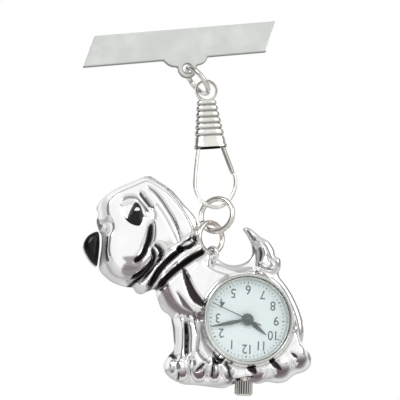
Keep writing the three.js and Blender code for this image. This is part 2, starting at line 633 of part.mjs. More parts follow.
function train(group) {
  const { rotor, intermediate, seconds, third, centre, minute, hour, setting } = TRAIN;
  const pair = (firstGear, secondGear) => gearPair(firstGear, secondGear);
  const [thirdWheel, secondsPinion] = pair(
    gear("third", third.at, LAYER.thirdWheel, third.wheel, seconds.pinionModule),
    gear("seconds", CENTRE, LAYER.secondsPinion, seconds.pinion),
  );
  const [centreWheel, thirdPinion] = pair(
    gear("centre", CENTRE, LAYER.centreWheel),
    gear("third", third.at, LAYER.thirdPinion, third.pinion),
  );
  const [secondsWheel, intermediatePinion] = pair(
    gear("seconds", CENTRE, LAYER.secondsWheel),
    gear("intermediate", intermediate.at, LAYER.intermediatePinion, intermediate.pinion),
  );
  const [intermediateWheel, rotorPinion] = pair(
    gear("intermediate", intermediate.at, LAYER.intermediateWheel, intermediate.wheel, rotor.module),
    gear("rotor", rotor.at, LAYER.rotorPinion, rotor.pinion),
  );
  const [cannonPinion, minuteWheel] = pair(
    gear("centre", CENTRE, LAYER.motionWheel, centre.cannon, centre.cannonModule),
    gear("minute", minute.at, LAYER.motionWheel),
  );
  const [hourWheel, minutePinion] = pair(
    gear("hour", CENTRE, LAYER.hourWheel),
    gear("minute", minute.at, LAYER.minutePinion, minute.pinion),
  );
  const towards = direction(setting.at, minute.at);
  const settingWheel = slab(
    gearOutline(setting.wheel, centre.cannonModule, towards + Math.PI / setting.wheel, setting.at),
    ...LAYER.motionWheel,
  );

  const tube = (outer, y, at = CENTRE, sides = 12) => rodY(outer, y[0], y[1], at, sides);
  const arbor = (y, at) => tube(ARBOR, y, at, 8);
  const through = (radius, at = CENTRE) => tube(radius, [5, -5], at);
  const pieces = {
    rotor: join(rotorPinion, arbor([1.0, -1.2], rotor.at), tube(0.7, [0.3, -0.65], rotor.at, 16)),
    intermediate_wheel: join(intermediateWheel, intermediatePinion, arbor([1.0, -0.3], intermediate.at)),
    seconds_wheel: join(secondsWheel, secondsPinion, tube(0.18, [1.0, -3.99], CENTRE, 10)),
    third_wheel: join(thirdWheel, thirdPinion, arbor([1.0, -1.2], third.at)),
    centre_wheel: cut(join(centreWheel, cannonPinion, tube(0.42, [-0.57, -3.7])), through(0.24)),
    minute_wheel: cut(join(minuteWheel, minutePinion), through(POST + 0.05, minute.at)),
    hour_wheel: cut(join(hourWheel, tube(0.69, [-2.4, -3.45], CENTRE, 16)), through(0.5)),
    setting_wheel: cut(settingWheel, through(POST + 0.05, setting.at)),
  };
  const steel = ["rotor", "setting_wheel"];
  for (const [name, piece] of Object.entries(pieces))
    addNode(group, name, piece, steel.includes(name) ? FINISH.steel : FINISH.brass);
}

function mainPlate() {
  const hole = (at, radius, sides = 8) => rodY(radius, 5, -5, at, sides);
  const postAt = (at) => rodY(POST, -1.85, -2.55, at, 10);
  const plate = cut(
    rodY(8.25, ...LAYER.plate, CENTRE, 36),
    hole(CENTRE, 0.55, 14),
    hole(BATTERY.at, BATTERY.radius + 0.1, 26),
    hole(TRAIN.rotor.at, ARBOR + 0.04),
    hole(TRAIN.third.at, ARBOR + 0.04),
    block([-0.78, 0.78], [-3, 1], [3.3, 9]),
    block([-0.5, 0.5], [-3, 1], [2.3, 3.4]),
    ...SCREWS.map((at) => hole(at, 0.2)),
  );
  return join(plate, postAt(TRAIN.minute.at), postAt(TRAIN.setting.at));
}

function trainBridge() {
  const corners = [
    [-5.8, 4.6], [-3.2, -0.6], [-0.4, -3.2], [2.0, -3.2], [5.2, -1.4],
    [5.2, 1.6], [6.0, 5.0], [3.6, 5.4], [2.0, 2.6], [-1.6, 4.4],
  ];
  const hole = (at, radius = ARBOR + 0.04) => rodY(radius, 5, -5, at, 8);
  return cut(
    slab(smoothOutline(corners), ...LAYER.bridge),
    hole(TRAIN.rotor.at),
    hole(TRAIN.intermediate.at),
    hole(TRAIN.third.at),
    hole(CENTRE, 0.22),
    ...SCREWS.map((at) => hole(at, 0.2)),
  );
}

function bridgeScrew(at) {
  const head = rodY(0.45, 1.5, 1.22, at, 12);
  const slot = block([at[0] - 0.6, at[0] + 0.6], [1.38, 2], [at[1] - 0.06, at[1] + 0.06]);
  return cut(join(head, rodY(0.17, 1.3, -1.6, at, 8)), slot);
}

function stator() {
  const bars = [
    [[2.95, 5.1], [-1.2, 1.2]],
    [[4.2, 5.1], [1.1, 3.4]],
    [[5.0, 6.4], [2.75, 3.4]],
    [[4.2, 5.1], [-4.0, -1.1]],
    [[5.0, 6.4], [-4.0, -3.35]],
  ];
  const plate = join(...bars.map(([x, z]) => block(x, [-0.82, -0.4], z)));
  return cut(plate, rodY(0.86, 5, -5, TRAIN.rotor.at, 20));
}

function coilCore() {
  const [low, high] = COIL.core;
  const rod = block([COIL.x - 0.24, COIL.x + 0.24], [COIL.y - 0.24, COIL.y + 0.24], [low, high]);
  const foot = (z0, z1) => block([COIL.x - 0.35, COIL.x + 0.35], [-0.38, 0.15], [z0, z1]);
  return join(rod, foot(high - 0.6, high), foot(low, low + 0.6));
}

function coilWinding() {
  const [low, high] = COIL.winding;
  return turnedZ([[0.38, low], [COIL.radius, low], [COIL.radius, high], [0.38, high]], [COIL.x, COIL.y], 20);
}

function quartzCan() {
  const geometry = new THREE.CapsuleGeometry(0.62, 2.9, 3, 12);
  geometry.rotateZ(Math.PI / 2);
  geometry.rotateY(radians(-28.7));
  geometry.translate(3.4, 0.15, -6.2);
  return solid(geometry);
}

function circuitBoard() {
  const corners = [
    [1.0, -3.0], [3.9, -1.6], [3.9, -4.3], [6.4, -4.3], [5.4, -5.9], [3.0, -7.3], [1.1, -7.7], [0.9, -5.0],
  ];
  return cut(slab(outline(corners), -0.6, -0.87), rodY(0.25, 5, -5, SCREWS[1], 12));
}

function batteryStrap() {
  const shape = outline([[-5.2, -5.6], [-4.9, -6.4], [0.9, -4.0], [1.8, -3.6], [1.5, -3.3], [0.6, -3.4]]);
  return slab(shape, 0.72, 0.62);
}

function movement(group) {
  addNode(group, "main_plate", mainPlate(), FINISH.brass);
  addNode(group, "train_bridge", trainBridge(), FINISH.steel);
  SCREWS.forEach((at, i) => addNode(group, `bridge_screw_${i + 1}`, bridgeScrew(at), FINISH.steel));
  addNode(group, "stator", stator(), FINISH.steel);
  addNode(group, "coil_core", coilCore(), FINISH.steel);
  addNode(group, "coil_winding", coilWinding(), FINISH.copper);
  addNode(group, "quartz_can", quartzCan(), FINISH.steel);
  addNode(group, "circuit_board", circuitBoard(), FINISH.board);
  addNode(group, "battery_cell", rodY(BATTERY.radius, ...BATTERY.y, BATTERY.at, 28), FINISH.steel);
  addNode(group, "battery_strap", batteryStrap(), FINISH.steel);
  const holder = turned([[8.3, -2.7], [8.7, -2.7], [8.7, 1.7], [8.3, 1.7]]);
  addNode(group, "movement_holder", cut(holder, block([-0.75, 0.75], [-3, 0.2], [7, 9.5])), FINISH.plastic);
}

function crownAndStem(group) {
  const y = CROWN.stemY;
  const squareStem = block([-0.22, 0.22], [y - 0.22, y + 0.22], [3.0, 5.4]);
  const pilot = rodZ(0.26, 2.5, 3.1, [0, y], 12);
  const stem = join(squareStem, pilot, rodZ(0.4, 5.3, CROWN.outer - 1.0, [0, y], 14));
  addNode(group, "winding_stem", stem, FINISH.steel);

  const { inner, outer, radius } = CROWN;
  const flutes = Array.from({ length: 2 * CROWN_FLUTES }, (_, i) => {
    const [x, z] = clock(i / (2 * CROWN_FLUTES));
    const r = radius - (i % 2 ? 0.16 : 0);
    return [r * x, r * z];
  });
  const cap = [[0, outer], [0.85, outer], [1.45, outer - 0.15], [1.6, outer - 0.5], [0, outer - 0.5]];
  const knob = join(
    slabZ(outline(flutes), inner + 0.2, outer - 0.4, y),
    turnedZ(cap, [0, y]),
    rodZ(1.6, inner, inner + 0.3, [0, y], 20),
  );
  const tubeRoom = rodZ(1.15, inner - 1, inner + 1, [0, y]);
  const stemRoom = rodZ(0.43, inner - 1, outer - 0.9, [0, y], 14);
  addNode(group, "crown", cut(knob, tubeRoom, stemRoom), FINISH.nickel);

  const clutch = cut(
    slabZ(gearOutline(12, 0.1, 0), 3.75, 4.75, y),
    rodZ(0.35, 3, 6, [0, y], 12),
  );
  addNode(group, "sliding_pinion", clutch, FINISH.steel);
  const tubeEnd = inner + 0.55;
  const tube = turnedZ([[0.46, 9.1], [0.9, 9.1], [0.9, tubeEnd], [0.46, tubeEnd]], [0, y], 20);
  addNode(group, "crown_tube", tube, FINISH.brass);
}

/** A shape extruded along Z between two heights, its middle at the stem's depth. */
function slabZ(shape, z0, z1, y) {
  const geometry = new THREE.ExtrudeGeometry(shape, { depth: z1 - z0, bevelEnabled: false });
  geometry.translate(0, y, z0);
  return solid(geometry);
}

function caseFittings(group) {
  const { outer, inner, seatY, frontY } = BEZEL;
  const bezel = [
    [inner, seatY], [outer, seatY], [outer, -5.0], [9.02, frontY], [8.74, frontY], [inner, -5.1],
  ];
  addNode(group, "bezel", turned(bezel), FINISH.chrome);
  const crystal = [[0, -4.2], [8.6, -4.2], [8.6, -5.0], [8.4, -5.12], [4.2, -5.2], [0, -5.23]];
  addNode(group, "crystal", turned(crystal), FINISH.glass);
  const rehaut = [[8.0, -3.1], [8.7, -3.1], [8.7, -3.98], [8.5, -4.15], [8.25, -4.15]];
  addNode(group, "rehaut_ring", turned(rehaut), FINISH.chrome);
  const face = cut(rodY(DIAL.radius, DIAL.back, DIAL.front, CENTRE, 36), rodY(DIAL.hole, 5, -5, CENTRE, 20));
  addNode(group, "dial", face, FINISH.dial);
  const lid = [
    [0, 2.33], [8.25, 2.33], [8.25, 1.78], [8.68, 1.78], [8.72, 2.33], [9.62, 2.33], [9.62, 2.6],
    [9.3, 2.9], [0, 2.9],
  ];
  const notch = block([-1.2, 1.2], [2.2, 2.62], [-10, -9.3]);
  addNode(group, "case_back", cut(turned(lid), notch), FINISH.satin);
  const gasket = [[8.88, 2.02], [9.15, 2.02], [9.15, 2.3], [8.88, 2.3]];
  addNode(group, "case_gasket", turned(gasket, 32), FINISH.rubber);
}

function watch() {
  const group = new THREE.Group();
  group.position.set(WATCH_CENTRE[0], 0, WATCH_CENTRE[1]);
  group.rotation.y = radians(WATCH_TURN_DEG);
  caseFittings(group);
  hands(group);
  train(group);
  movement(group);
  crownAndStem(group);
  return group;
}

// ---- the whole fob watch ---------------------------------------------------------------------------

const fobWatch = new THREE.Group();
fobWatch.add(
  brooch(),
  jumpRing("upper_jump_ring", UPPER_RING),
  clip(),
  jumpRing("middle_jump_ring", MIDDLE_RING),
  jumpRing("lower_jump_ring", LOWER_RING),
  dog(),
  watch(),
);

export default fobWatch;
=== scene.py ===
import logging
import math
from collections.abc import Callable
from dataclasses import dataclass, field
from enum import Enum

import bmesh
import bpy
import numpy as np
from mathutils import Matrix, Vector


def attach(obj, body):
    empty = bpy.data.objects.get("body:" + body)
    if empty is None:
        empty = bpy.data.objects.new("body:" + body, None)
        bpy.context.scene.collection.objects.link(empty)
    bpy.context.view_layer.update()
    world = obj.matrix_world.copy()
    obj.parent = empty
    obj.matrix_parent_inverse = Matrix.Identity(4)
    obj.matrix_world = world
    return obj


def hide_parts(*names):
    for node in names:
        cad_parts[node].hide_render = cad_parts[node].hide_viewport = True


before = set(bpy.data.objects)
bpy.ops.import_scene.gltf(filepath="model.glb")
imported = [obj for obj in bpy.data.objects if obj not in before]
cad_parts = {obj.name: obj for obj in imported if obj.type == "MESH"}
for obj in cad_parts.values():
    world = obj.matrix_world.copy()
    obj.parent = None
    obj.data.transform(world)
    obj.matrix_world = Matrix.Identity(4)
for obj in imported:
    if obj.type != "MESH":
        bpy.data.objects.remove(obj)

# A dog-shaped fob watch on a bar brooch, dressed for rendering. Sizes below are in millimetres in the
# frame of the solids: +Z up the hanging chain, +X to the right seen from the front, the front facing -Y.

LOG = logging.getLogger("fob_watch")
MM = 0.001
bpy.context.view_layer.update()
TWO_PI = 2.0 * math.pi
Points = list[tuple[float, float]]
Colour = tuple[float, float, float]
Field = Callable[[np.ndarray], np.ndarray]
Front = Callable[[np.ndarray, np.ndarray], np.ndarray]
Weights = Callable[[np.ndarray, np.ndarray], dict[str, np.ndarray]]

WATCH_CENTRE = (6.45, -58.55)  # the dial's middle, [x, z]
WATCH_TURN_DEG = 189.0  # how far the dial is turned, so that the wearer reads it upright
CHAIN_PLANE = -0.5  # the y of the clip's wires
WARM_SHADE = (0.20, 0.15, 0.18)  # painted reflection and painted shade: what polished metal mirrors from a dim corner, mixed into the base colour
PAINTED_SHADOW = (0.012, 0.007, 0.009)  # painted shadow: near-black mixed into the base colour in grooves, slots and other recesses


class Body(str, Enum):
    """The moving bodies that pieces ride on."""

    BAR = "bar"
    PIN = "pin"
    UPPER_RING = "upper_ring"
    CLIP = "clip"
    GATE = "gate"
    MIDDLE_RING = "middle_ring"
    LOWER_RING = "lower_ring"
    CASE = "case"
    CROWN = "crown"
    HOURS = "hours"
    MINUTES = "minutes"
    SECONDS = "seconds"


# ---- curves and distances ----------------------------------------------------------------------------


def smooth_path(points: np.ndarray, count: int, closed: bool = False) -> np.ndarray:
    """A Catmull-Rom curve through points, sampled evenly by span.

    Args:
        points: the points to pass through, one per row.
        count: how many samples to return.
        closed: whether the curve returns to its start.

    Returns:
        The samples, one per row; each is the cubic blend of its four nearest points.
    """
    pts = np.asarray(points, float)
    n = len(pts)
    spans = n if closed else n - 1
    s = np.linspace(0, spans, count, endpoint=not closed)
    i = np.minimum(s.astype(int), spans - 1)
    t = (s - i)[:, None]

    def at(k: np.ndarray) -> np.ndarray:
        """The point of that number, wrapped or held at the ends."""
        return pts[k % n] if closed else pts[np.clip(k, 0, n - 1)]

    a, b, c, d = at(i - 1), at(i), at(i + 1), at(i + 2)
    return 0.5 * (
        2 * b + (c - a) * t + (2 * a - 5 * b + 4 * c - d) * t**2 + (3 * b - a - 3 * c + d) * t**3
    )


def segment_distance(
    p: np.ndarray, path: np.ndarray, closed: bool
) -> tuple[np.ndarray, np.ndarray, np.ndarray]:
    """Distance from every point to a path of straight segments.

    Args:
        p: points, one [x, z] per row.
        path: the path's corners.
        closed: whether the last corner joins the first.

    Returns:
        The distance, the nearest point of the path, and how far along it that is, from 0 to 1.
    """
    a = path if closed else path[:-1]
    b = np.roll(path, -1, axis=0) if closed else path[1:]
    best = np.full(len(p), np.inf)
    near = np.zeros_like(p)
    along = np.zeros(len(p))
    for k, (start, end) in enumerate(zip(a, b)):
        run = end - start
        t = np.clip(((p - start) @ run) / max(run @ run, 1e-12), 0, 1)
        q = start + t[:, None] * run
        d = np.hypot(*(p - q).T)
        hit = d < best
        best[hit], near[hit], along[hit] = d[hit], q[hit], (k + t[hit]) / len(a)
    return best, near, along


def depth_inside(p: np.ndarray, ring: np.ndarray) -> tuple[np.ndarray, np.ndarray]:
    """How deep points lie inside a closed outline, negative outside, and the outline's nearest point.

    Args:
        p: the places, one [x, z] per row.
        ring: the outline's corners.

    Returns:
        The depth, negative outside, and the nearest point of the outline.
    """
    distance, near, _ = segment_distance(p, ring, True)
    a, b = ring, np.roll(ring, -1, axis=0)
    inside = np.zeros(len(p), bool)
    for (x0, z0), (x1, z1) in zip(a, b):
        crosses = (z0 > p[:, 1]) != (z1 > p[:, 1])
        rise = (z1 - z0) if abs(z1 - z0) > 1e-9 else 1e-9
        inside ^= crosses & (p[:, 0] < (x1 - x0) * (p[:, 1] - z0) / rise + x0)
    return np.where(inside, distance, -distance), near


def ease(value: np.ndarray) -> np.ndarray:
    """The smooth step from 0 to 1: 3t squared minus 2t cubed, with t held between 0 and 1."""
    t = np.clip(value, 0, 1)
    return t * t * (3 - 2 * t)


def quarter_round(value: np.ndarray) -> np.ndarray:
    """A quarter circle's rise from 0 to 1: the root of 1 minus (1 - t) squared."""
    t = np.clip(value, 0, 1)
    return np.sqrt(1 - (1 - t) ** 2)


# ---- meshes ------------------------------------------------------------------------------------------


@dataclass
class Patch:
    """Part of a piece's surface: vertices in millimetres and faces that index them."""

    vertices: np.ndarray
    faces: list[list[int]]
    values: dict[str, np.ndarray] = field(default_factory=dict)


def grid_patch(points: np.ndarray, wrap_rows: bool = False, wrap_columns: bool = False) -> Patch:
    """Quads over a grid of points.

    Args:
        points: rows by columns by 3.
        wrap_rows: whether the last row joins the first.
        wrap_columns: whether the last column joins the first.

    Returns:
        The patch; a row that has shrunk to a point becomes a pole when the piece is welded.
    """
    rows, columns = points.shape[:2]
    i = np.arange(rows if wrap_rows else rows - 1)[:, None]
    j = np.arange(columns if wrap_columns else columns - 1)[None, :]
    i2, j2 = (i + 1) % rows, (j + 1) % columns
    corners = np.stack([i * columns + j, i * columns + j2, i2 * columns + j2, i2 * columns + j], axis=-1)
    return Patch(points.reshape(-1, 3), corners.reshape(-1, 4).tolist())


def tube_patch(path: np.ndarray, radius: np.ndarray, sides: int, closed: bool = False,
               axis: tuple[float, float, float] = (0, 1, 0), squash: float = 1.0) -> Patch:
    """A round wire: a circle square to the path at each of its points, with half balls on open ends.

    Args:
        path: the centre line's points.
        radius: the wire's radius at each point.
        sides: points round the circle.
        closed: whether the wire returns to its start.
        axis: the direction that the path's plane faces.
        squash: how much thinner the wire is along axis.

    Returns:
        The wire's surface.
    """
    ahead, behind = np.roll(path, -1, axis=0), np.roll(path, 1, axis=0)
    if not closed:
        ahead[-1], behind[0] = path[-1], path[0]
    run = ahead - behind
    run /= np.linalg.norm(run, axis=1)[:, None]
    binormal = np.asarray(axis, float)[None, :] - run * (run @ np.asarray(axis, float))[:, None]
    binormal /= np.linalg.norm(binormal, axis=1)[:, None]
    normal = np.cross(run, binormal)
    if not closed:
        rings = 6
        fall = np.linspace(math.pi / 2, 0, rings)[:, None]
        r0, r1 = radius[0], radius[-1]
        start = path[0] - run[0] * r0 * np.sin(fall)
        end = path[-1] + run[-1] * r1 * np.sin(fall[::-1])
        path = np.vstack([start, path[1:-1], end])
        radius = np.concatenate([r0 * np.cos(fall[:, 0]), radius[1:-1], r1 * np.cos(fall[::-1, 0])])
        normal = np.vstack(
            [np.repeat(normal[:1], rings, 0), normal[1:-1], np.repeat(normal[-1:], rings, 0)]
        )
        binormal = np.vstack(
            [np.repeat(binormal[:1], rings, 0), binormal[1:-1], np.repeat(binormal[-1:], rings, 0)]
        )
    angle = np.linspace(0, TWO_PI, sides, endpoint=False)
    across, over = np.cos(angle)[None, :, None], squash * np.sin(angle)[None, :, None]
    circle = across * normal[:, None, :] + over * binormal[:, None, :]
    return grid_patch(path[:, None, :] + radius[:, None, None] * circle, closed, True)


def turned_patch(profile: np.ndarray, sides: int, ring: bool = False) -> Patch:
    """A body of revolution about Y from [radius, y] points; ring joins the profile's ends.

    Args:
        profile: [radius, y] points.
        sides: points round the axis.
        ring: whether the profile's ends are joined.

    Returns:
        The surface.
    """
    angle = np.linspace(0, TWO_PI, sides, endpoint=False)[None, :]
    r, y = profile[:, :1], profile[:, 1:2] + 0 * angle
    return grid_patch(np.stack([r * np.sin(angle), y, r * np.cos(angle)], axis=-1), ring, True)


def softened(profile: Points, radius: float = 0.08, closed: bool = False) -> np.ndarray:
    """A turned piece's profile with each corner traded for three points of a small curve.

    Args:
        profile: the profile's corners, [radius, y].
        radius: how far from a corner its curve starts.
        closed: whether the profile returns to its start.

    Returns:
        The new profile, one point per row.
    """
    pts = np.asarray(profile, float)
    back, on = np.roll(pts, 1, axis=0) - pts, np.roll(pts, -1, axis=0) - pts
    reach_back = np.minimum(radius / np.maximum(np.linalg.norm(back, axis=1), 1e-9), 0.45)[:, None]
    reach_on = np.minimum(radius / np.maximum(np.linalg.norm(on, axis=1), 1e-9), 0.45)[:, None]
    first, last = pts + back * reach_back, pts + on * reach_on
    middle = 0.25 * first + 0.5 * pts + 0.25 * last
    trio = np.stack([first, middle, last], axis=1)
    if not closed:
        trio[0], trio[-1] = pts[0], pts[-1]
    return trio.reshape(-1, 2)


@dataclass(frozen=True)
class Pierced:
    """A drawn shape with one round hole in it."""

    ring: np.ndarray
    centre: np.ndarray
    hole: float

    def depth(self, p: np.ndarray) -> np.ndarray:
        """How deep each [x, z] lies inside the outline and outside the hole."""
        return np.minimum(depth_inside(p, self.ring)[0], np.hypot(*(p - self.centre).T) - self.hole)

    def place(self, p: np.ndarray) -> np.ndarray:
        """The nearer, for each [x, z], of the outline and the hole's edge.

        Args:
            p: the places, one [x, z] per row.

        Returns:
            The nearer point for each place.
        """
        away = p - self.centre
        r = np.hypot(*away.T)[:, None]
        edge = self.centre + away / np.maximum(r, 1e-9) * self.hole
        near = depth_inside(p, self.ring)[1]
        return np.where(np.abs(r - self.hole) < np.hypot(*(p - near).T)[:, None], edge, near)


def sheet_solid(
    depth_of: Field, place_of: Field, front_of: Front, back: float,
    box: tuple[float, float, float, float], step: float, soften_back: float = 0.3,
    weights: Weights | None = None, settle: int = 0
) -> Patch:
    """A flat-backed solid over a drawn shape, such as a casting with relief.

    A square grid covers the shape. Grid points just outside it move onto its outline, so the edge is clean.
    Front and back use the same grid, and a wall joins them along the outline.

    Args:
        depth_of: gives how deep each [x, z] lies inside the shape.
        place_of: gives each [x, z]'s nearest place on the outline.
        front_of: gives the front surface's y at each [x, z].
        back: the back face's y.
        box: x0, x1, z0, z1 round the shape.
        step: the grid's spacing.
        soften_back: how far the back face's edge is rounded.
        weights: gives named values at each [x, z], kept on the front, or nothing.
        settle: how many times each front point is moved to the mean of its cells' means.

    Returns:
        The closed solid.
    """
    xs, zs = np.arange(box[0], box[1] + step, step), np.arange(box[2], box[3] + step, step)
    gx, gz = np.meshgrid(xs, zs, indexing="ij")
    p = np.stack([gx.ravel(), gz.ravel()], axis=1)
    inside = depth_of(p) > 0
    cells = np.asarray(grid_patch(np.zeros((*gx.shape, 3))).faces)
    cells = cells[inside[cells].any(axis=1)]
    used = np.unique(cells)
    number = np.full(len(p), -1)
    number[used] = np.arange(len(used))
    p, outside = p[used], ~inside[used]
    cells = number[cells]
    p[outside] = place_of(p[outside])
    depth = np.maximum(depth_of(p), 0)
    depth[outside] = 0
    back_y = back - soften_back * (1 - quarter_round(depth / max(soften_back, 1e-6)))
    y = front_of(p, depth)
    share = np.bincount(cells.ravel(), minlength=len(p))
    for _ in range(settle):
        mean = np.repeat(y[cells].mean(axis=1), 4)
        y = np.bincount(cells.ravel(), weights=mean, minlength=len(p)) / share
    front = np.stack([p[:, 0], y, p[:, 1]], axis=1)
    rear = np.stack([p[:, 0], back_y, p[:, 1]], axis=1)
    n = len(p)
    edges = np.concatenate([cells[:, [k, (k + 1) % 4]] for k in range(4)])
    _, index, counts = np.unique(np.sort(edges, axis=1), axis=0, return_index=True, return_counts=True)
    rim = edges[index[counts == 1]]
    wall = np.stack([rim[:, 0], rim[:, 0] + n, rim[:, 1] + n, rim[:, 1]], axis=1)
    faces = np.concatenate([cells, cells[:, ::-1] + n, wall])
    values = {}
    for name, value in (weights(p, depth) if weights else {}).items():
        values[name] = np.concatenate([value, np.zeros(n)])
    return Patch(np.vstack([front, rear]), faces.tolist(), values)


def moved(patch: Patch, place: Matrix) -> Patch:
    """The patch carried to a place given by a matrix in millimetres."""
    m = np.array(place)
    return Patch(patch.vertices @ m[:3, :3].T + m[:3, 3], patch.faces, patch.values)


def build(name: str, patches: list[Patch], material: bpy.types.Material, body: Body,
          nodes: tuple[str, ...] = (), smooth_below: float = 40.0) -> bpy.types.Object:
    """Makes one piece from its patches and hands it to its body.

    Args:
        name: the piece's name.
        patches: the surfaces that together close it.
        material: what it is dressed in.
        body: the body it rides on.
        nodes: the solids that it stands for.
        smooth_below: the angle in degrees under which two faces shade as one curve.

    Returns:
        The piece's object.
    """
    offsets = np.cumsum([0] + [len(p.vertices) for p in patches])
    vertices = np.vstack([p.vertices for p in patches]) * MM
    faces = [[i + int(o) for i in f] for p, o in zip(patches, offsets) for f in p.faces]
    mesh = bpy.data.meshes.new(name)
    mesh.from_pydata(vertices.tolist(), [], faces)
    for key in sorted({k for p in patches for k in p.values}):
        value = np.concatenate([p.values.get(key, np.zeros(len(p.vertices))) for p in patches])
        mesh.attributes.new(key, "FLOAT", "POINT").data.foreach_set("value", value.astype(np.float32))
    work = bmesh.new()
    work.from_mesh(mesh)
    bmesh.ops.remove_doubles(work, verts=work.verts, dist=2e-6)
    bmesh.ops.dissolve_degenerate(work, edges=work.edges, dist=1e-6)
    bmesh.ops.recalc_face_normals(work, faces=work.faces)
    work.to_mesh(mesh)
    work.free()
    obj = bpy.data.objects.new(name, mesh)
    bpy.context.scene.collection.objects.link(obj)
    mesh.materials.append(material)
    mesh.shade_smooth()
    mesh.set_sharp_from_angle(angle=math.radians(smooth_below))
    if nodes:
        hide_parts(*nodes)
    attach(obj, body.value)
    LOG.info("%s: %d faces on %s", name, len(mesh.polygons), body.value)
    return obj


def dress_node(name: str, material: bpy.types.Material) -> None:
    """Puts a finish on a solid that keeps its own shape.

    Args:
        name: the solid's name.
        material: what it is dressed in.
    """
    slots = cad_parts[name].data.materials
    slots.clear()
    slots.append(material)


# ---- finishes ----------------------------------------------------------------------------------------


class Wire:
    """A shader socket that takes arithmetic; each operation adds one Math node."""

    def __init__(self, paint: "Paint", socket: bpy.types.NodeSocket) -> None:
        """Wraps a socket of the material that paint is writing."""
        self.paint, self.socket = paint, socket

    def _math(self, operation: str, *inputs: object) -> "Wire":
        """Adds a Math node of that operation on the inputs.

        Args:
            operation: the node's operation.
            inputs: values or wires, in the order of its sockets.

        Returns:
            The result as a wire.
        """
        return self.paint.node(
            "ShaderNodeMath", {"operation": operation}, {i: v for i, v in enumerate(inputs)}
        )

    def __add__(self, other: object) -> "Wire":
        """This plus other."""
        return self._math("ADD", self, other)

    __radd__ = __add__

    def __sub__(self, other: object) -> "Wire":
        """This minus other."""
        return self._math("SUBTRACT", self, other)

    def __rsub__(self, other: object) -> "Wire":
        """Other minus this."""
        return self._math("SUBTRACT", other, self)

    def __mul__(self, other: object) -> "Wire":
        """This times other."""
        return self._math("MULTIPLY", self, other)

    __rmul__ = __mul__

    def __pow__(self, other: object) -> "Wire":
        """This to the power of other."""
        return self._math("POWER", self, other)

    def clamp(self) -> "Wire":
        """This held between 0 and 1."""
        return self._math("MINIMUM", self._math("MAXIMUM", self, 0.0), 1.0)


class Paint:
    """Writes one material: a Principled shader and the nodes that vary it."""

    def __init__(self, name: str) -> None:
        """Starts an empty material of that name.

        Args:
            name: the material's name.
        """
        self.material = bpy.data.materials.new(name)
        self.material.use_nodes = True
        self.tree = self.material.node_tree
        self.shader = self.tree.nodes["Principled BSDF"]

    def node(self, kind: str, settings: dict, inputs: dict, output: object = 0) -> Wire:
        """Adds a node.

        Args:
            kind: the node's type.
            settings: its properties; a ramp's stops are [place, colour] pairs under "stops".
            inputs: values or wires for its sockets, by name or number.
            output: which output to return.

        Returns:
            The output as a wire.
        """
        made = self.tree.nodes.new(kind)
        for key, value in settings.items():
            if key == "stops":
                ramp = made.color_ramp
                while len(ramp.elements) < len(value):
                    ramp.elements.new(1.0)
                for element, (place, colour) in zip(ramp.elements, value):
                    element.position, element.color = place, (*colour, 1.0)
            else:
                setattr(made, key, value)
        for key, value in inputs.items():
            if isinstance(value, Wire):
                self.tree.links.new(value.socket, made.inputs[key])
            else:
                made.inputs[key].default_value = value
        return Wire(self, made.outputs[output])

    def set(self, **values: object) -> None:
        """Sets or links the shader's sockets, by name with underscores for spaces.

        Args:
            values: a value or a wire for each socket.
        """
        for key, value in values.items():
            socket = self.shader.inputs[key.replace("_", " ")]
            if isinstance(value, Wire):
                self.tree.links.new(value.socket, socket)
            else:
                socket.default_value = value

    def place(self, stretch: tuple[float, float, float] = (1, 1, 1)) -> Wire:
        """Object coordinates, stretched along each axis."""
        coordinates = self.node("ShaderNodeTexCoord", {}, {}, "Object")
        return self.node("ShaderNodeMapping", {}, {"Vector": coordinates, "Scale": stretch})

    def noise(
        self, scale: float, stretch: tuple[float, float, float] = (1, 1, 1), detail: float = 3.0
    ) -> Wire:
        """Noise of that scale per metre, from 0 to 1.

        Args:
            scale: how many waves there are in a metre.
            stretch: how much finer it is along each axis.
            detail: how many finer layers are added.

        Returns:
            The noise as a wire.
        """
        return self.node(
            "ShaderNodeTexNoise", {}, {"Vector": self.place(stretch), "Scale": scale, "Detail": detail}
        )

    def attribute(self, name: str) -> Wire:
        """The value that the piece's mesh holds under that name."""
        return self.node("ShaderNodeAttribute", {"attribute_name": name}, {}, "Fac")

    def mix(self, factor: Wire, low: "Wire | Colour", high: "Wire | Colour") -> Wire:
        """A colour from low to high by factor."""
        base, top = (end if isinstance(end, Wire) else (*end, 1.0) for end in (low, high))
        return self.node("ShaderNodeMix", {"data_type": "RGBA"}, {"Factor": factor, 6: base, 7: top}, 2)

    def bump(self, height: Wire, depth_mm: float) -> None:
        """Links a bump of that depth to the shader's normal."""
        self.set(Normal=self.node("ShaderNodeBump", {}, {"Height": height, "Distance": depth_mm * MM}))


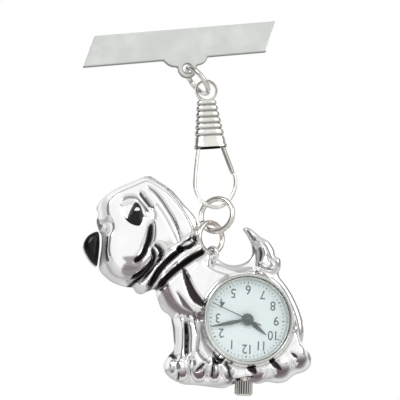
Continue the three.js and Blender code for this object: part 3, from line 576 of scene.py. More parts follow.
@dataclass(frozen=True)
class Metal:
    """A plated or bare metal: its colour, its polish, its scratches, and whether it takes painted shade."""

    name: str
    colour: Colour
    shade: Colour
    roughness: float = 0.12
    grain: tuple[float, float, float] = (1, 1, 1)
    grain_depth: float = 0.0015
    grain_scale: float = 900.0
    hollows: bool = False

    def make(self) -> bpy.types.Material:
        """The material: cloudy tint and fine scratches, with painted shade and satin places where the mesh
        says so.

        Returns:
            The material.
        """
        paint = Paint(self.name)
        clouds = paint.noise(260.0)
        tint = paint.mix(((clouds - 0.42) * 3.0).clamp(), self.shade, self.colour)
        rough, metallic = self.roughness + 0.12 * (clouds - 0.5), 1.0
        if self.hollows:
            # Painted light: the hollow value mixes in near-black painted shadow, the shade value a warm
            # painted reflection shade.
            hollow = paint.attribute("hollow")
            tint = paint.mix(paint.attribute("shade").clamp(), tint, WARM_SHADE)
            tint = paint.mix(hollow.clamp(), tint, PAINTED_SHADOW)
            satin = paint.attribute("satin").clamp()
            rough, metallic = rough + 0.15 * hollow + 0.4 * satin, 1.0 - 0.75 * satin
        paint.bump(paint.noise(self.grain_scale, self.grain, 5.0), self.grain_depth)
        paint.set(Base_Color=tint, Roughness=rough.clamp(), Metallic=metallic)
        return paint.material


@dataclass(frozen=True)
class Coat:
    """A lacquer, enamel, plastic or rubber: its colour, how it varies, and its gloss."""

    name: str
    colour: Colour
    shade: Colour
    roughness: float = 0.3
    scale: float = 300.0
    depth: float = 0.002
    coat: float = 0.0
    gloss: float = 0.5

    def make(self) -> bpy.types.Material:
        """The material: a soft variation of colour and gloss with a little orange peel.

        Returns:
            The material.
        """
        paint = Paint(self.name)
        clouds = paint.noise(self.scale)
        paint.set(
            Base_Color=paint.mix(clouds, self.shade, self.colour),
            Roughness=(self.roughness + 0.1 * (clouds - 0.5)).clamp(),
            Coat_Weight=self.coat,
            Coat_Roughness=0.04,
            Specular_IOR_Level=self.gloss,
        )
        paint.bump(paint.noise(self.scale * 6.0), self.depth)
        return paint.material


@dataclass(frozen=True)
class Glass:
    """Clear mineral glass: mostly see-through, with gloss that rises towards its edge."""

    name: str = "mineral glass"
    clear: float = 0.05

    def make(self) -> bpy.types.Material:
        """The material, whose alpha grows at grazing angles as a real pane's reflection does.

        Returns:
            The material.
        """
        paint = Paint(self.name)
        facing = paint.node("ShaderNodeLayerWeight", {}, {"Blend": 0.25}, "Facing")
        smudge = paint.noise(220.0)
        paint.set(
            Base_Color=(0.96, 0.99, 1.0, 1.0),
            Roughness=(0.02 + 0.03 * smudge).clamp(),
            Alpha=(self.clear + 0.45 * facing**2.0).clamp(),
        )
        return paint.material


class Finish:
    """Every finish on the watch, made once."""

    def __init__(self) -> None:
        """Makes the materials."""
        self.case = Metal(
            "bright chrome casting", (0.975, 0.975, 0.97), (0.93, 0.93, 0.93), 0.08, hollows=True
        ).make()
        self.chrome = Metal("bright chrome", (0.92, 0.92, 0.94), (0.84, 0.84, 0.88), 0.08).make()
        self.satin = Metal(
            "satin chrome plate", (0.69, 0.705, 0.685), (0.61, 0.625, 0.605), 0.34, (1, 1, 14), 0.004,
            hollows=True
        ).make()
        self.nickel = Metal(
            "bright nickel", (0.86, 0.84, 0.81), (0.70, 0.66, 0.63), 0.13, hollows=True
        ).make()
        self.clip = Metal(
            "warm nickel", (0.93, 0.92, 0.88), (0.76, 0.74, 0.70), 0.16, hollows=True
        ).make()
        self.gate = Metal("grey nickel", (0.55, 0.53, 0.50), (0.42, 0.40, 0.37), 0.2).make()
        self.steel = Metal("steel", (0.62, 0.63, 0.65), (0.48, 0.49, 0.52), 0.3, (1, 1, 12), 0.003).make()
        self.lid = Metal(
            "brushed steel lid", (0.72, 0.73, 0.74), (0.6, 0.61, 0.62), 0.28, (1, 8, 22), 0.006
        ).make()
        self.brass = Metal("brass", (0.80, 0.62, 0.28), (0.62, 0.45, 0.18), 0.25).make()
        self.copper = Metal(
            "enamelled copper", (0.72, 0.32, 0.14), (0.5, 0.2, 0.08), 0.35, (1, 1, 30), 0.02
        ).make()
        self.bezel = Metal(
            "polished bezel", (0.72, 0.73, 0.70), (0.62, 0.63, 0.60), 0.22, (1, 1, 1), 0.01
        ).make()
        self.enamel = Coat(
            "black enamel", (0.005, 0.004, 0.006), (0.001, 0.001, 0.002), 0.06, coat=0.12, gloss=0.2
        ).make()
        # A painted highlight: the white of the eye's glint.
        self.catchlight = Coat(
            "painted catchlight white", (0.95, 0.95, 0.95), (0.88, 0.88, 0.88), 0.2, coat=0.3
        ).make()
        self.dial = Coat(
            "icy white lacquer", (0.86, 0.935, 0.95), (0.80, 0.90, 0.92), 0.4, 500.0, 0.001
        ).make()
        self.print = Coat("dark dial print", (0.10, 0.14, 0.16), (0.05, 0.08, 0.09), 0.5).make()
        self.hands = Coat(
            "charcoal lacquer", (0.055, 0.075, 0.085), (0.03, 0.04, 0.05), 0.3, coat=0.3
        ).make()
        self.plastic = Coat("white plastic", (0.86, 0.85, 0.81), (0.78, 0.77, 0.72), 0.45).make()
        self.board = Coat("green board", (0.05, 0.26, 0.11), (0.03, 0.18, 0.07), 0.4, coat=0.3).make()
        self.rubber = Coat("black rubber", (0.03, 0.03, 0.03), (0.015, 0.015, 0.015), 0.75).make()
        self.glass = Glass().make()


# ---- bar and brooch pin ------------------------------------------------------------------------------


@dataclass
class Brooch:
    """The bar, with its tab for the first ring, and the hinged pin behind it."""

    half_length: float = 19.2
    half_height: float = 3.2
    slant: float = 1.55
    thickness: float = 1.0
    tab: tuple[float, float] = (0.8, -5.3)
    lobe: float = 2.0
    hole: float = 1.0
    edge: float = 0.05

    def outline(self) -> np.ndarray:
        """The plate's outline: a slanted bar whose lower edge flows into a round lobe.

        Returns:
            Its corners and curve points in order, [x, z].
        """
        l, h, s = self.half_length, self.half_height, self.slant
        turn = np.radians(np.linspace(172, 368, 30))
        lobe = np.array(self.tab) + self.lobe * np.stack([np.cos(turn), np.sin(turn)], axis=1)
        left = smooth_path([[-4.0, -h], [-3.4, -h - 0.75], [-2.5, -h - 1.35], [-1.2, -h - 1.65]], 12)
        right = smooth_path([[2.75, -h - 1.65], [4.1, -h - 1.35], [4.95, -h - 0.75], [5.3, -h]], 12)
        return np.vstack([[[-l + s, h], [-l - s, -h]], left, lobe, right, [[l - s, -h], [l + s, h]]])

    def plate(self, finish: Finish) -> None:
        """Builds the plate: its front is flat with a fine edge, and one round hole pierces the lobe.

        Args:
            finish: the watch's finishes.
        """
        shape = Pierced(self.outline(), np.array(self.tab), self.hole)

        def front(p: np.ndarray, d: np.ndarray) -> np.ndarray:
            """The face, whose edge rolls back by a flattened quarter circle, twice as broad as it is deep."""
            return -self.thickness + self.edge * (1 - quarter_round(d / (2 * self.edge)))

        def hollow(p: np.ndarray, d: np.ndarray) -> dict[str, np.ndarray]:
            """A dark line along the left end and the lower edge, which face away from the light."""
            shaded = (p[:, 0] < 1.6 - self.half_length) | (p[:, 1] < 0.35 - self.half_height)
            return {"hollow": 0.75 * (1 - ease(d / 0.3)) * shaded}

        patch = sheet_solid(
            shape.depth, shape.place, front, 0.0, (-21.5, 21.5, -7.8, 3.6), 0.2, 0.15, hollow
        )
        build("bar_plate", [patch], finish.satin, Body.BAR, ("pin_bar",), 35)

    def pin(self, finish: Finish) -> None:
        """Builds the pin: a tapering wire whose root winds twice round the hinge rivet.

        Args:
            finish: the watch's finishes.
        """
        x, y, reach = -13.0, 1.75, 0.7
        turn = np.linspace(0, 2 * TWO_PI, 90)
        coil = np.stack(
            [x + reach * np.sin(turn), y - reach * np.cos(turn + math.pi), -0.55 + 1.1 * turn / turn[-1]],
            axis=1
        )
        run = smooth_path(
            [
                [x + 0.35, 2.42, 0.5], [-11, 2.36, 0.15], [-9, 2.3, 0], [0, 2.3, 0], [8, 2.3, 0],
                [14.2, 2.3, 0]
            ],
            70
        )
        taper = np.interp(run[:, 0], [-13, 11.6, 13.6, 14.3], [0.36, 0.38, 0.2, 0.03])
        patches = [
            tube_patch(coil, np.full(len(coil), 0.26), 12, axis=(0, 0, 1)),
            tube_patch(run, taper, 14, axis=(0, 0, 1)),
        ]
        build("pin_wire", patches, finish.steel, Body.PIN, ("pin_stem",))

    def dress(self, finish: Finish) -> None:
        """Builds what shows from the front and finishes the hinge and the catch.

        Args:
            finish: the watch's finishes.
        """
        self.plate(finish)
        self.pin(finish)
        for node in ("pin_base", "hinge_rivet", "catch_housing", "catch_roller"):
            dress_node(node, finish.chrome)


# ---- chain -------------------------------------------------------------------------------------------


@dataclass
class JumpRing:
    """A round wire ring, closed by a fine butt joint."""

    name: str
    body: Body
    centre: tuple[float, float, float]
    radius: float
    wire: float
    turns: tuple[tuple[str, float], ...]
    joint_at: float = 0.2

    def dress(self, finish: Finish) -> None:
        """Builds the ring: a circle swept along a circle, pinched where its ends meet.

        Args:
            finish: the watch's finishes.
        """
        u = np.linspace(0, TWO_PI, 220, endpoint=False)
        path = np.stack([self.radius * np.cos(u), self.radius * np.sin(u), 0 * u], axis=1)
        gap = np.abs((u / TWO_PI - self.joint_at + 0.5) % 1 - 0.5)
        pinch = np.exp(-((gap * 260) ** 2))
        patch = tube_patch(path, self.wire * (1 - 0.3 * pinch), 22, closed=True, axis=(0, 0, 1))
        # Painted shadow darkens the pinched joint, where the ends meet in a narrow gap.
        patch.values["hollow"] = np.repeat(0.8 * pinch, 22)
        place = Matrix.Translation(self.centre)
        for axis, degrees in self.turns:
            place = place @ Matrix.Rotation(math.radians(degrees), 4, axis)
        build(
            self.name + "_wire", [moved(patch, place)], finish.nickel, self.body, (self.name,)
        )


@dataclass
class Clip:
    """The spring clip: a ribbed sleeve with a strip eye, a hook of round wire and a hinged gate."""

    plane: float = CHAIN_PLANE
    eye: tuple[float, float] = (4.2, -10.3)
    eye_radius: float = 2.1
    top: float = -12.2
    bottom: float = -22.3
    half_top: float = 1.95
    half_bottom: float = 3.45
    wall: float = 0.4
    flatness: float = 0.5
    squareness: float = 0.82
    lean_deg: float = 1.9
    ribs: tuple[float, ...] = (-13.3, -14.6, -15.9, -17.2, -18.4, -19.8)
    pivot: tuple[float, float] = (5.7, -20.4)
    wire: float = 0.39
    finger: float = 0.5

    def sleeve(self, finish: Finish) -> None:
        """Builds the sleeve: a flattened taper whose radius dips at each rib line, hollow from its mouth.

        Args:
            finish: the watch's finishes.
        """
        z = np.concatenate(
            [[self.top], self.top - 0.12 * np.arange(1, 4), np.linspace(self.top - 0.5, self.bottom, 110)]
        )
        half = np.interp(z, [self.bottom, self.top], [self.half_bottom, self.half_top])
        half *= np.interp(z, [self.top - 0.5, self.top], [1.0, 0.86])
        dip = sum(np.exp(-(((z - rib) / 0.24) ** 2)) for rib in self.ribs)
        outer = half - 0.26 * dip + 0.1 * (1 - np.minimum(dip, 1)) * (z > self.ribs[-1])
        outer += 0.12 * np.exp(-(((z - self.bottom - 0.35) / 0.3) ** 2))
        inner_z = np.linspace(self.bottom, self.top - 1.5, 30)
        inner = np.interp(inner_z, [self.bottom, self.top], [self.half_bottom, self.half_top]) - self.wall
        radii = np.concatenate([[0], outer, inner, [0]])
        heights = np.concatenate([[self.top + 0.02], z, inner_z, [self.top - 1.4]])
        # Painted shadow: darker along the rib lines, nearly black inside the sleeve's mouth.
        shade = np.concatenate([[0], 0.75 * dip**2, np.full(len(inner), 0.96), [1]])
        angle = np.linspace(0, TWO_PI, 72, endpoint=False)[None, :]
        cx, cy = (np.sign(c) * np.abs(c) ** self.squareness for c in (np.cos(angle), np.sin(angle)))
        r = radii[:, None]
        flat = np.stack(
            [r * cx, self.flatness * r * cy, (heights - self.top)[:, None] + 0 * angle], axis=-1
        )
        patch = grid_patch(flat, False, True)
        patch.values["hollow"] = np.repeat(shade, 72)
        lean = Matrix.Rotation(math.radians(self.lean_deg), 4, "Y")
        place = Matrix.Translation((4.0, self.plane, self.top)) @ lean
        turn = np.linspace(0, TWO_PI, 120, endpoint=False)
        (x, z), r = self.eye, self.eye_radius
        loop = np.stack([x + r * np.sin(turn), 0 * turn + self.plane, z + r * np.cos(turn)], axis=1)
        strip = tube_patch(loop, np.full(len(turn), 0.3), 16, closed=True, squash=3.2)
        build(
            "clip_sleeve_shell", [moved(patch, place), strip], finish.clip, Body.CLIP,
            ("clip_sleeve",), 50
        )

    def hook(self, finish: Finish) -> None:
        """Builds the hook: round wire from inside the sleeve, round the bend and up to a blunt nose.

        Args:
            finish: the watch's finishes.
        """
        bends = [
            [1.75, -18.5], [1.45, -20.5], [1.08, -22.4], [0.5, -24.6], [-0.15, -27.5], [-0.55, -30],
            [-0.4, -31.3], [0.2, -32.75], [1.25, -33.95], [2.5, -34.6], [3.75, -34.8], [5.0, -34.45],
            [6.1, -33.65], [7.05, -32.5], [7.75, -31], [8.0, -29.5], [7.85, -28.3]
        ]
        flat = smooth_path(bends, 160)
        path = np.stack([flat[:, 0], np.full(160, self.plane), flat[:, 1]], axis=1)
        radius = np.full(160, self.wire)
        radius[-8:] = np.linspace(self.wire, self.wire - 0.05, 8)
        build(
            "hook_wire", [tube_patch(path, radius, 20)], finish.clip, Body.CLIP,
            ("clip_hook_wire",)
        )

    def gate(self, finish: Finish) -> None:
        """Builds the gate: a curved finger on a flat hub, and the rivet through the hub.

        Args:
            finish: the watch's finishes.
        """
        bends = smooth_path([self.pivot, [6.15, -22.1], [6.7, -24.3], [7.2, -26.3], [7.58, -27.85]], 60)
        path = np.stack([bends[:, 0], np.full(60, self.plane), bends[:, 1]], axis=1)
        radius = np.interp(
            np.arange(60), [0, 8, 50, 59],
            [self.finger - 0.02, self.finger, self.finger, self.finger - 0.08]
        )
        hub = softened([(0.34, -0.45), (0.62, -0.45), (0.62, 0.45), (0.34, 0.45)], 0.08, True)
        hub_patch = turned_patch(hub, 40, ring=True)
        place = Matrix.Translation((self.pivot[0], self.plane, self.pivot[1]))
        build(
            "gate_finger", [tube_patch(path[6:], radius[6:], 18), moved(hub_patch, place)], finish.gate,
            Body.GATE, ("clip_gate",)
        )
        dress_node("gate_pin", finish.nickel)

    def dress(self, finish: Finish) -> None:
        """Builds the sleeve, the hook and the gate.

        Args:
            finish: the watch's finishes.
        """
        self.sleeve(finish)
        self.hook(finish)
        self.gate(finish)


# ---- dog-shaped casting --------------------------------------------------------------------------------


@dataclass(frozen=True)
class Relief:
    """One raised form of the casting: where it is, how high it stands and how broadly its edge rolls."""

    outline: Points
    height: float
    roll: float
    swell: float = 0.0
    # how much painted shade lines the form's foot, where it rises from lower ground
    lip: float = 0.3


@dataclass(frozen=True)
class Groove:
    """One line cut in the casting: its path, its half width, its depth and how much painted shadow darkens
    its floor.
    """

    path: Points
    half: float
    depth: float
    dark: float = 1.0


@dataclass(frozen=True)
class Tone:
    """A sunk patch of the casting painted with mirrored dark: its outline, depth, painted shadow and warmer
    painted shade.
    """

    outline: Points
    depth: float
    dark: float = 0.0
    shade: float = 0.0
    soft: float = 0.3


@dataclass
class DogCasting:
    """The puppy: a flat-backed casting whose flange runs round the whole outline."""

    back: float = 2.3
    flange: float = 0.7
    offset: tuple[float, float] = (0.3, 0.2)
    lean: tuple[float, float] = (0.158, 0.14)
    seat: float = 9.24
    rim: float = 9.5
    cup_reach: float = 9.85
    cup_height: float = 5.5
    cup_roll: float = 0.8
    crown_slot: tuple[float, float] = (2.05, 12.2)
    step: float = 0.18

    SILHOUETTE = [
        (-10.0, -26.85), (-13.6, -27.8), (-17.0, -28.9), (-19.9, -30.65), (-21.3, -32.4), (-21.1, -33.8),
        (-21.6, -35.2), (-21.3, -37.2), (-20.9, -38.2), (-21.2, -40.6), (-21.9, -43.4), (-22.1, -45.0),
        (-21.4, -46.3), (-19.65, -48.0), (-17.3, -49.1), (-15.8, -49.5), (-15.2, -50.5), (-14.1, -51.0),
        (-12.9, -50.6), (-11.3, -50.3), (-11.1, -51.6), (-10.7, -53.4), (-10.2, -54.7), (-8.9, -55.9),
        (-8.6, -57.6), (-8.6, -60.2), (-8.8, -62.7), (-9.8, -63.8), (-11.0, -65.1), (-11.3, -66.6),
        (-10.8, -67.9), (-9.6, -69.0), (-7.6, -70.1), (-5.4, -70.5), (-3.3, -71.0), (-1.2, -71.5),
        (0.6, -71.75), (2.2, -71.3), (4.1, -70.8), (5.6, -70.9), (7.4, -71.7), (9.5, -71.5),
        (11.5, -72.0), (13.3, -71.9), (15.2, -70.8), (17.6, -70.25), (18.9, -69.0), (19.0, -66.9),
        (17.7, -64.9), (18.25, -62.4), (18.2, -59.0), (17.1, -55.0), (15.8, -52.2), (14.6, -50.1),
        (15.2, -48.4), (15.3, -46.7), (14.4, -46.1), (14.3, -44.8), (13.4, -42.9), (12.1, -42.0),
        (10.9, -40.8), (9.7, -39.7), (8.4, -39.7), (9.1, -41.3), (9.7, -43.2), (9.6, -45.2),
        (8.6, -46.4), (6.4, -47.1), (4.2, -46.7), (2.3, -45.4), (0.9, -43.8), (0.0, -42.6),
        (-0.6, -41.3), (-0.9, -38.4), (-1.4, -36.1), (-3.35, -33.3), (-5.5, -30.2), (-7.9, -28.2),
    ]
    RELIEFS = {
        "base": Relief(
            [
                (-10.0, -52.4), (-8.8, -54.5), (-7.7, -56.0), (-7.7, -59.4), (-8.1, -62.4), (-8.9, -64.2),
                (-10.6, -65.4), (-11.1, -67.2), (-10.0, -69.0), (-7.4, -70.1), (-3.6, -70.8),
                (-0.4, -71.0), (2.0, -70.7), (4.3, -70.9), (7.4, -70.8), (9.8, -70.8), (12.6, -70.1),
                (15.2, -69.4), (17.4, -68.2), (18.1, -66.6), (17.4, -64.8), (17.3, -60.0), (16.4, -56.0),
                (14.9, -52.4), (12.4, -49.8), (10.0, -48.2), (5.7, -48.1), (1.3, -46.2), (-3.0, -45.6),
                (-8.0, -49.4)
            ],
            height=3.0, roll=0.7, lip=0.35
        ),
        "head": Relief(
            [
                (-10.6, -27.2), (-13.2, -27.9), (-17.0, -29.2), (-19.4, -30.9), (-20.3, -32.8),
                (-20.3, -34.8), (-19.8, -36.0), (-19.6, -37.2), (-20.4, -38.6), (-21.0, -41.2),
                (-20.9, -43.2), (-20.0, -45.6), (-18.6, -47.2), (-16.9, -47.9), (-15.0, -47.9),
                (-12.6, -46.5), (-10.4, -44.7), (-8.0, -43.7), (-5.0, -42.6), (-2.6, -41.3),
                (-1.6, -39.7), (-2.2, -37.0), (-3.9, -33.6), (-6.1, -30.4), (-8.6, -28.3)
            ],
            height=4.9, roll=1.2, swell=0.35, lip=0.15
        ),
        "snout": Relief(
            [
                (-19.0, -30.4), (-20.6, -32.2), (-20.8, -34.6), (-20.2, -36.2), (-21.2, -38.0),
                (-21.8, -40.5), (-22.0, -43.4), (-20.8, -46.2), (-18.8, -48.0), (-17.0, -47.0),
                (-17.0, -40.0), (-17.0, -32.0)
            ],
            height=1.9, roll=0.7, lip=0.1
        ),
        "neck": Relief(
            [
                (-16.4, -48.5), (-13.6, -45.6), (-10.0, -42.8), (-5.0, -41.2), (-1.6, -40.6),
                (0.2, -42.2), (1.2, -43.8), (1.2, -46.4), (-1.0, -52.0), (-2.8, -56.0), (-4.6, -57.0),
                (-7.2, -56.2), (-9.2, -54.2), (-10.4, -52.4), (-11.4, -51.4), (-13.2, -51.0),
                (-15.2, -50.0)
            ],
            height=4.3, roll=1.3, swell=0.2, lip=0.2
        ),
        "body": Relief(
            [
                (-7.2, -49.4), (-4.4, -45.4), (-1.4, -43.8), (1.2, -45.8), (3.2, -46.9), (5.8, -47.8),
                (9.8, -47.9), (12.4, -49.4), (14.9, -52.2), (16.3, -55.6), (16.8, -59.4), (16.6, -62.2),
                (15.6, -65.0), (13.0, -67.2), (9.8, -68.4), (5.8, -68.4), (1.6, -67.4), (-1.8, -64.0),
                (-3.2, -60.6), (-4.0, -57.4), (-5.8, -55.0)
            ],
            height=4.6, roll=2.4, swell=0.2, lip=0.12
        ),
        "front_leg": Relief(
            [
                (-8.0, -53.6), (-5.7, -53.6), (-5.5, -59.6), (-6.1, -63.6), (-6.7, -65.4), (-8.4, -65.0),
                (-7.7, -62.6), (-7.5, -59.0)
            ],
            height=3.7, roll=0.8, lip=0.15
        ),
        "second_leg": Relief(
            [
                (-6.0, -54.0), (-4.0, -54.4), (-3.4, -58.4), (-3.1, -60.6), (-3.6, -62.9), (-3.4, -64.6),
                (-1.6, -66.4), (-2.6, -67.8), (-4.0, -67.0), (-5.6, -66.4), (-6.6, -63.6), (-6.2, -60.2)
            ],
            height=4.1, roll=0.9, lip=0.2
        ),
        "haunch": Relief(
            [
                (-1.2, -62.0), (1.4, -63.6), (4.4, -64.8), (8.6, -65.0), (12.6, -63.4), (15.0, -60.4),
                (17.0, -62.4), (17.0, -67.0), (13.8, -69.2), (9.8, -70.0), (6.8, -70.2), (4.4, -71.2),
                (2.0, -70.2), (-0.6, -67.8)
            ],
            height=3.7, roll=0.8, lip=0.1
        ),
        "tail": Relief(
            [
                (9.4, -40.2), (10.6, -41.6), (12.2, -42.9), (13.0, -44.4), (13.6, -46.4), (14.5, -47.2),
                (14.1, -49.2), (12.4, -49.0), (10.6, -48.0), (10.6, -46.6), (10.9, -44.4), (10.5, -42.6),
                (9.8, -41.2)
            ],
            height=2.2, roll=0.8
        ),
    }
    # Each toe is a long dome: [x, z], its reach across and up, and its height.
    TOES = [
        (-9.7, -66.0, 1.2, 2.4, 3.4), (-7.7, -66.5, 1.45, 2.8, 3.8), (-4.3, -66.5, 1.9, 3.3, 4.3),
        (-1.3, -67.4, 1.6, 2.8, 4.1), (1.9, -68.0, 1.8, 2.6, 4.1), (7.2, -68.6, 2.5, 2.3, 4.1),
        (12.6, -67.9, 2.3, 2.7, 4.1), (16.6, -66.3, 2.0, 2.8, 3.9),
    ]
    GROOVES = [
        # The ear's front edge and the cheek.
        Groove([(-11.7, -30.2), (-11.4, -31.0), (-10.7, -32.1), (-9.8, -33.5)], 0.3, 1.0),
        Groove([(-9.8, -33.5), (-9.4, -34.6), (-9.5, -35.7), (-10.3, -37.4)], 0.16, 0.4, 0.5),
        Groove(
            [
                (-10.2, -36.9), (-10.6, -38.7), (-11.0, -39.9), (-11.7, -41.2), (-12.6, -42.7),
                (-14.2, -43.9)
            ],
            0.5, 1.5
        ),
        # The ear's folds and its lower edge.
        Groove(
            [
                (-10.1, -29.2), (-8.8, -30.4), (-7.7, -32.1), (-6.6, -34.3), (-5.7, -36.3), (-5.1, -38.5),
                (-4.75, -40.7)
            ],
            0.2, 0.6, 1.0
        ),
        Groove(
            [(-8.8, -33.0), (-7.5, -35.4), (-6.3, -38.4), (-5.7, -40.2), (-5.2, -41.4)], 0.2, 0.3, 0.35
        ),
        Groove([(-1.4, -40.2), (-1.8, -41.3), (-2.8, -42.0), (-3.9, -42.2), (-5.2, -42.3)], 0.4, 1.6),
        # The corner of the mouth.
        Groove(
            [
                (-18.0, -50.4), (-16.0, -48.9), (-14.0, -47.5), (-12.5, -46.4), (-11.2, -45.2),
                (-10.4, -43.9), (-10.3, -42.6), (-10.5, -41.7)
            ],
            0.5, 1.7
        ),
        Groove([(-9.9, -41.0), (-9.1, -41.8), (-8.8, -42.8), (-9.1, -43.7), (-9.9, -44.6)], 0.42, 1.6),
        Groove([(-9.5, -44.2), (-10.7, -45.5), (-12.2, -46.9), (-13.6, -48.3)], 0.2, 0.8, 0.85),
        # The collar.
        Groove(
            [
                (-4.6, -42.5), (-6.2, -43.4), (-7.7, -44.4), (-9.0, -45.5), (-10.2, -46.8),
                (-11.0, -48.1), (-11.8, -49.6), (-12.3, -51.2), (-12.6, -52.4)
            ],
            0.6, 1.9
        ),
        Groove(
            [
                (0.5, -42.8), (-0.6, -43.5), (-2.4, -44.2), (-4.5, -45.3), (-6.5, -46.5), (-8.4, -47.9),
                (-9.9, -49.2), (-11.5, -50.6), (-12.9, -51.8)
            ],
            0.54, 1.9
        ),
        Groove([(-6.0, -44.9), (-7.2, -46.0), (-8.5, -46.9)], 0.16, 0.3, 0.8),
        # The shoulder and the front legs.
        Groove([(-5.7, -57.2), (-5.9, -60.0), (-6.5, -64.2)], 0.27, 1.3),
        Groove(
            [
                (-7.6, -56.3), (-5.7, -56.7), (-4.1, -57.9), (-3.4, -59.4), (-3.3, -61.0), (-3.9, -62.9),
                (-5.0, -64.3)
            ],
            0.16, 0.4, 0.3
        ),
        Groove([(-10.3, -64.0), (-9.2, -64.2), (-8.3, -64.5)], 0.42, 1.6),
        # The toes.
        Groove([(-8.3, -67.3), (-8.4, -68.7)], 0.22, 0.8),
        Groove([(-2.9, -66.0), (-3.8, -66.7), (-4.9, -67.5)], 0.32, 0.9),
        Groove([(-0.6, -65.7), (-1.4, -67.0), (-1.7, -68.8)], 0.26, 0.9),
        Groove([(1.4, -66.0), (1.8, -67.4), (2.0, -69.3)], 0.3, 0.9),
        Groove([(-6.1, -66.0), (-6.4, -68.4), (-6.2, -69.6)], 0.12, 0.4, 0.4),
        Groove([(-2.7, -67.8), (-2.9, -69.4)], 0.12, 0.4, 0.4),
        # The tail and the eyelids.
        Groove([(11.5, -43.8), (11.6, -45.2), (11.1, -46.8)], 0.26, 0.8),
        Groove([(12.6, -45.6), (13.2, -47.2), (13.0, -48.4)], 0.2, 0.5, 0.7),
        Groove([(9.3, -40.2), (10.0, -41.4), (10.6, -42.4)], 0.3, 0.6, 0.8),
        Groove([(-16.0, -32.2), (-15.8, -33.6), (-15.3, -34.8), (-14.8, -35.6)], 0.16, 0.3, 0.35),
        Groove(
            [
                (-15.5, -31.4), (-14.6, -30.9), (-13.2, -31.0), (-12.2, -31.7), (-11.3, -33.2),
                (-10.9, -34.6)
            ],
            0.24, 0.6, 0.7
        ),
        Groove([(-12.2, -34.9), (-11.4, -35.4), (-10.9, -34.7)], 0.12, 0.2, 0.4),
    ]
    # Each tone paints shadow and warm shade into a sunk patch, where the polished metal would mirror the
    # dark.
    TONES = [
        # Between the shoulder's muscles.
        Tone(
            [
                (-4.9, -46.0), (-5.0, -48.3), (-4.55, -51.1), (-3.7, -53.2), (-1.7, -54.6), (-1.5, -53.6),
                (-2.9, -51.1), (-3.9, -48.5)
            ],
            depth=0.5, dark=0.88, shade=0.9, soft=0.12
        ),
        Tone(
            [(-6.7, -51.0), (-6.2, -53.3), (-5.5, -54.4), (-3.7, -55.6), (-4.75, -53.8), (-5.6, -52.4)],
            depth=0.3, dark=0.3, shade=0.95, soft=0.2
        ),
        Tone(
            [
                (-9.9, -49.8), (-9.3, -51.8), (-8.4, -53.7), (-6.7, -55.4), (-4.6, -56.2), (-3.0, -57.6),
                (-2.4, -59.6), (-2.2, -61.8), (-1.7, -60.4), (-2.0, -57.6), (-3.5, -55.9), (-5.7, -54.5),
                (-7.2, -52.6), (-8.2, -50.2), (-8.7, -48.6)
            ],
            depth=0.2, dark=0.12, shade=0.85, soft=0.4
        ),
        # The throat, between the mouth and the collar.
        Tone(
            [
                (-15.6, -48.6), (-13.2, -46.9), (-11.3, -44.9), (-10.8, -43.2), (-11.6, -43.2),
                (-13.6, -44.9), (-15.9, -46.6), (-17.2, -47.9)
            ],
            depth=0.0, shade=0.5, soft=0.5
        ),
        Tone(
            [
                (-13.2, -50.6), (-12.2, -48.4), (-10.9, -46.6), (-9.9, -45.4), (-10.3, -46.9),
                (-11.2, -48.8), (-11.9, -50.9)
            ],
            depth=0.0, shade=0.6, soft=0.4
        ),
        Tone(
            [
                (-16.8, -43.0), (-15.0, -42.9), (-12.8, -43.6), (-13.4, -45.4), (-14.0, -46.6),
                (-16.0, -46.9), (-17.3, -46.0), (-16.9, -44.6), (-16.2, -44.0)
            ],
            depth=0.0, shade=0.75, soft=0.5
        ),
        Tone(
            [
                (-20.6, -43.6), (-20.2, -45.4), (-19.0, -46.8), (-17.5, -47.8), (-15.3, -47.8),
                (-14.2, -46.6), (-15.4, -46.3), (-17.3, -46.7), (-18.8, -45.6), (-19.7, -43.8)
            ],
            depth=0.0, shade=0.55, soft=0.4
        ),
        # The side of the face.
        Tone(
            [
                (-19.2, -30.2), (-18.6, -30.8), (-18.8, -33.2), (-18.7, -35.4), (-18.4, -36.9),
                (-19.2, -38.3), (-19.7, -39.8), (-19.9, -41.6), (-19.7, -43.8), (-18.4, -46.6),
                (-19.4, -46.4), (-20.8, -43.6), (-20.8, -40.8), (-20.1, -38.5), (-19.6, -36.9),
                (-20.2, -35.2), (-20.0, -33.2), (-20.2, -31.8)
            ],
            depth=0.0, shade=0.45, soft=0.5
        ),
        # Hollows under the bezel and between the hind toes.
        Tone(
            [(-3.0, -57.4), (-2.0, -57.0), (-1.9, -60.4), (-1.0, -63.4), (-1.8, -64.6), (-2.8, -62.6)],
            depth=0.1, shade=0.5, soft=0.4
        ),
        Tone(
            [(-1.2, -63.5), (-0.1, -64.1), (0.8, -65.4), (0.8, -66.3), (0.1, -66.3), (-0.5, -65.2)],
            depth=0.6, dark=0.95, shade=0.6, soft=0.15
        ),
        Tone(
            [(5.2, -67.3), (6.9, -67.5), (7.5, -68.6), (7.3, -69.3), (6.3, -68.8)],
            depth=0.4, dark=0.92, shade=0.9, soft=0.18
        ),
        Tone(
            [(10.5, -66.5), (11.3, -66.8), (12.4, -68.2), (12.5, -69.2), (11.2, -68.4)],
            depth=0.5, dark=0.92, shade=0.9, soft=0.18
        ),
        Tone(
            [(15.0, -65.8), (15.9, -66.2), (16.2, -67.0), (15.4, -66.8)],
            depth=0.3, dark=0.85, shade=0.9, soft=0.15
        ),
    ]
    EYE_SOCKET = [
        (-15.9, -32.3), (-14.2, -31.4), (-12.2, -31.7), (-11.2, -33.4), (-11.3, -35.4), (-12.4, -37.0),
        (-14.1, -36.7), (-15.6, -35.3)
    ]
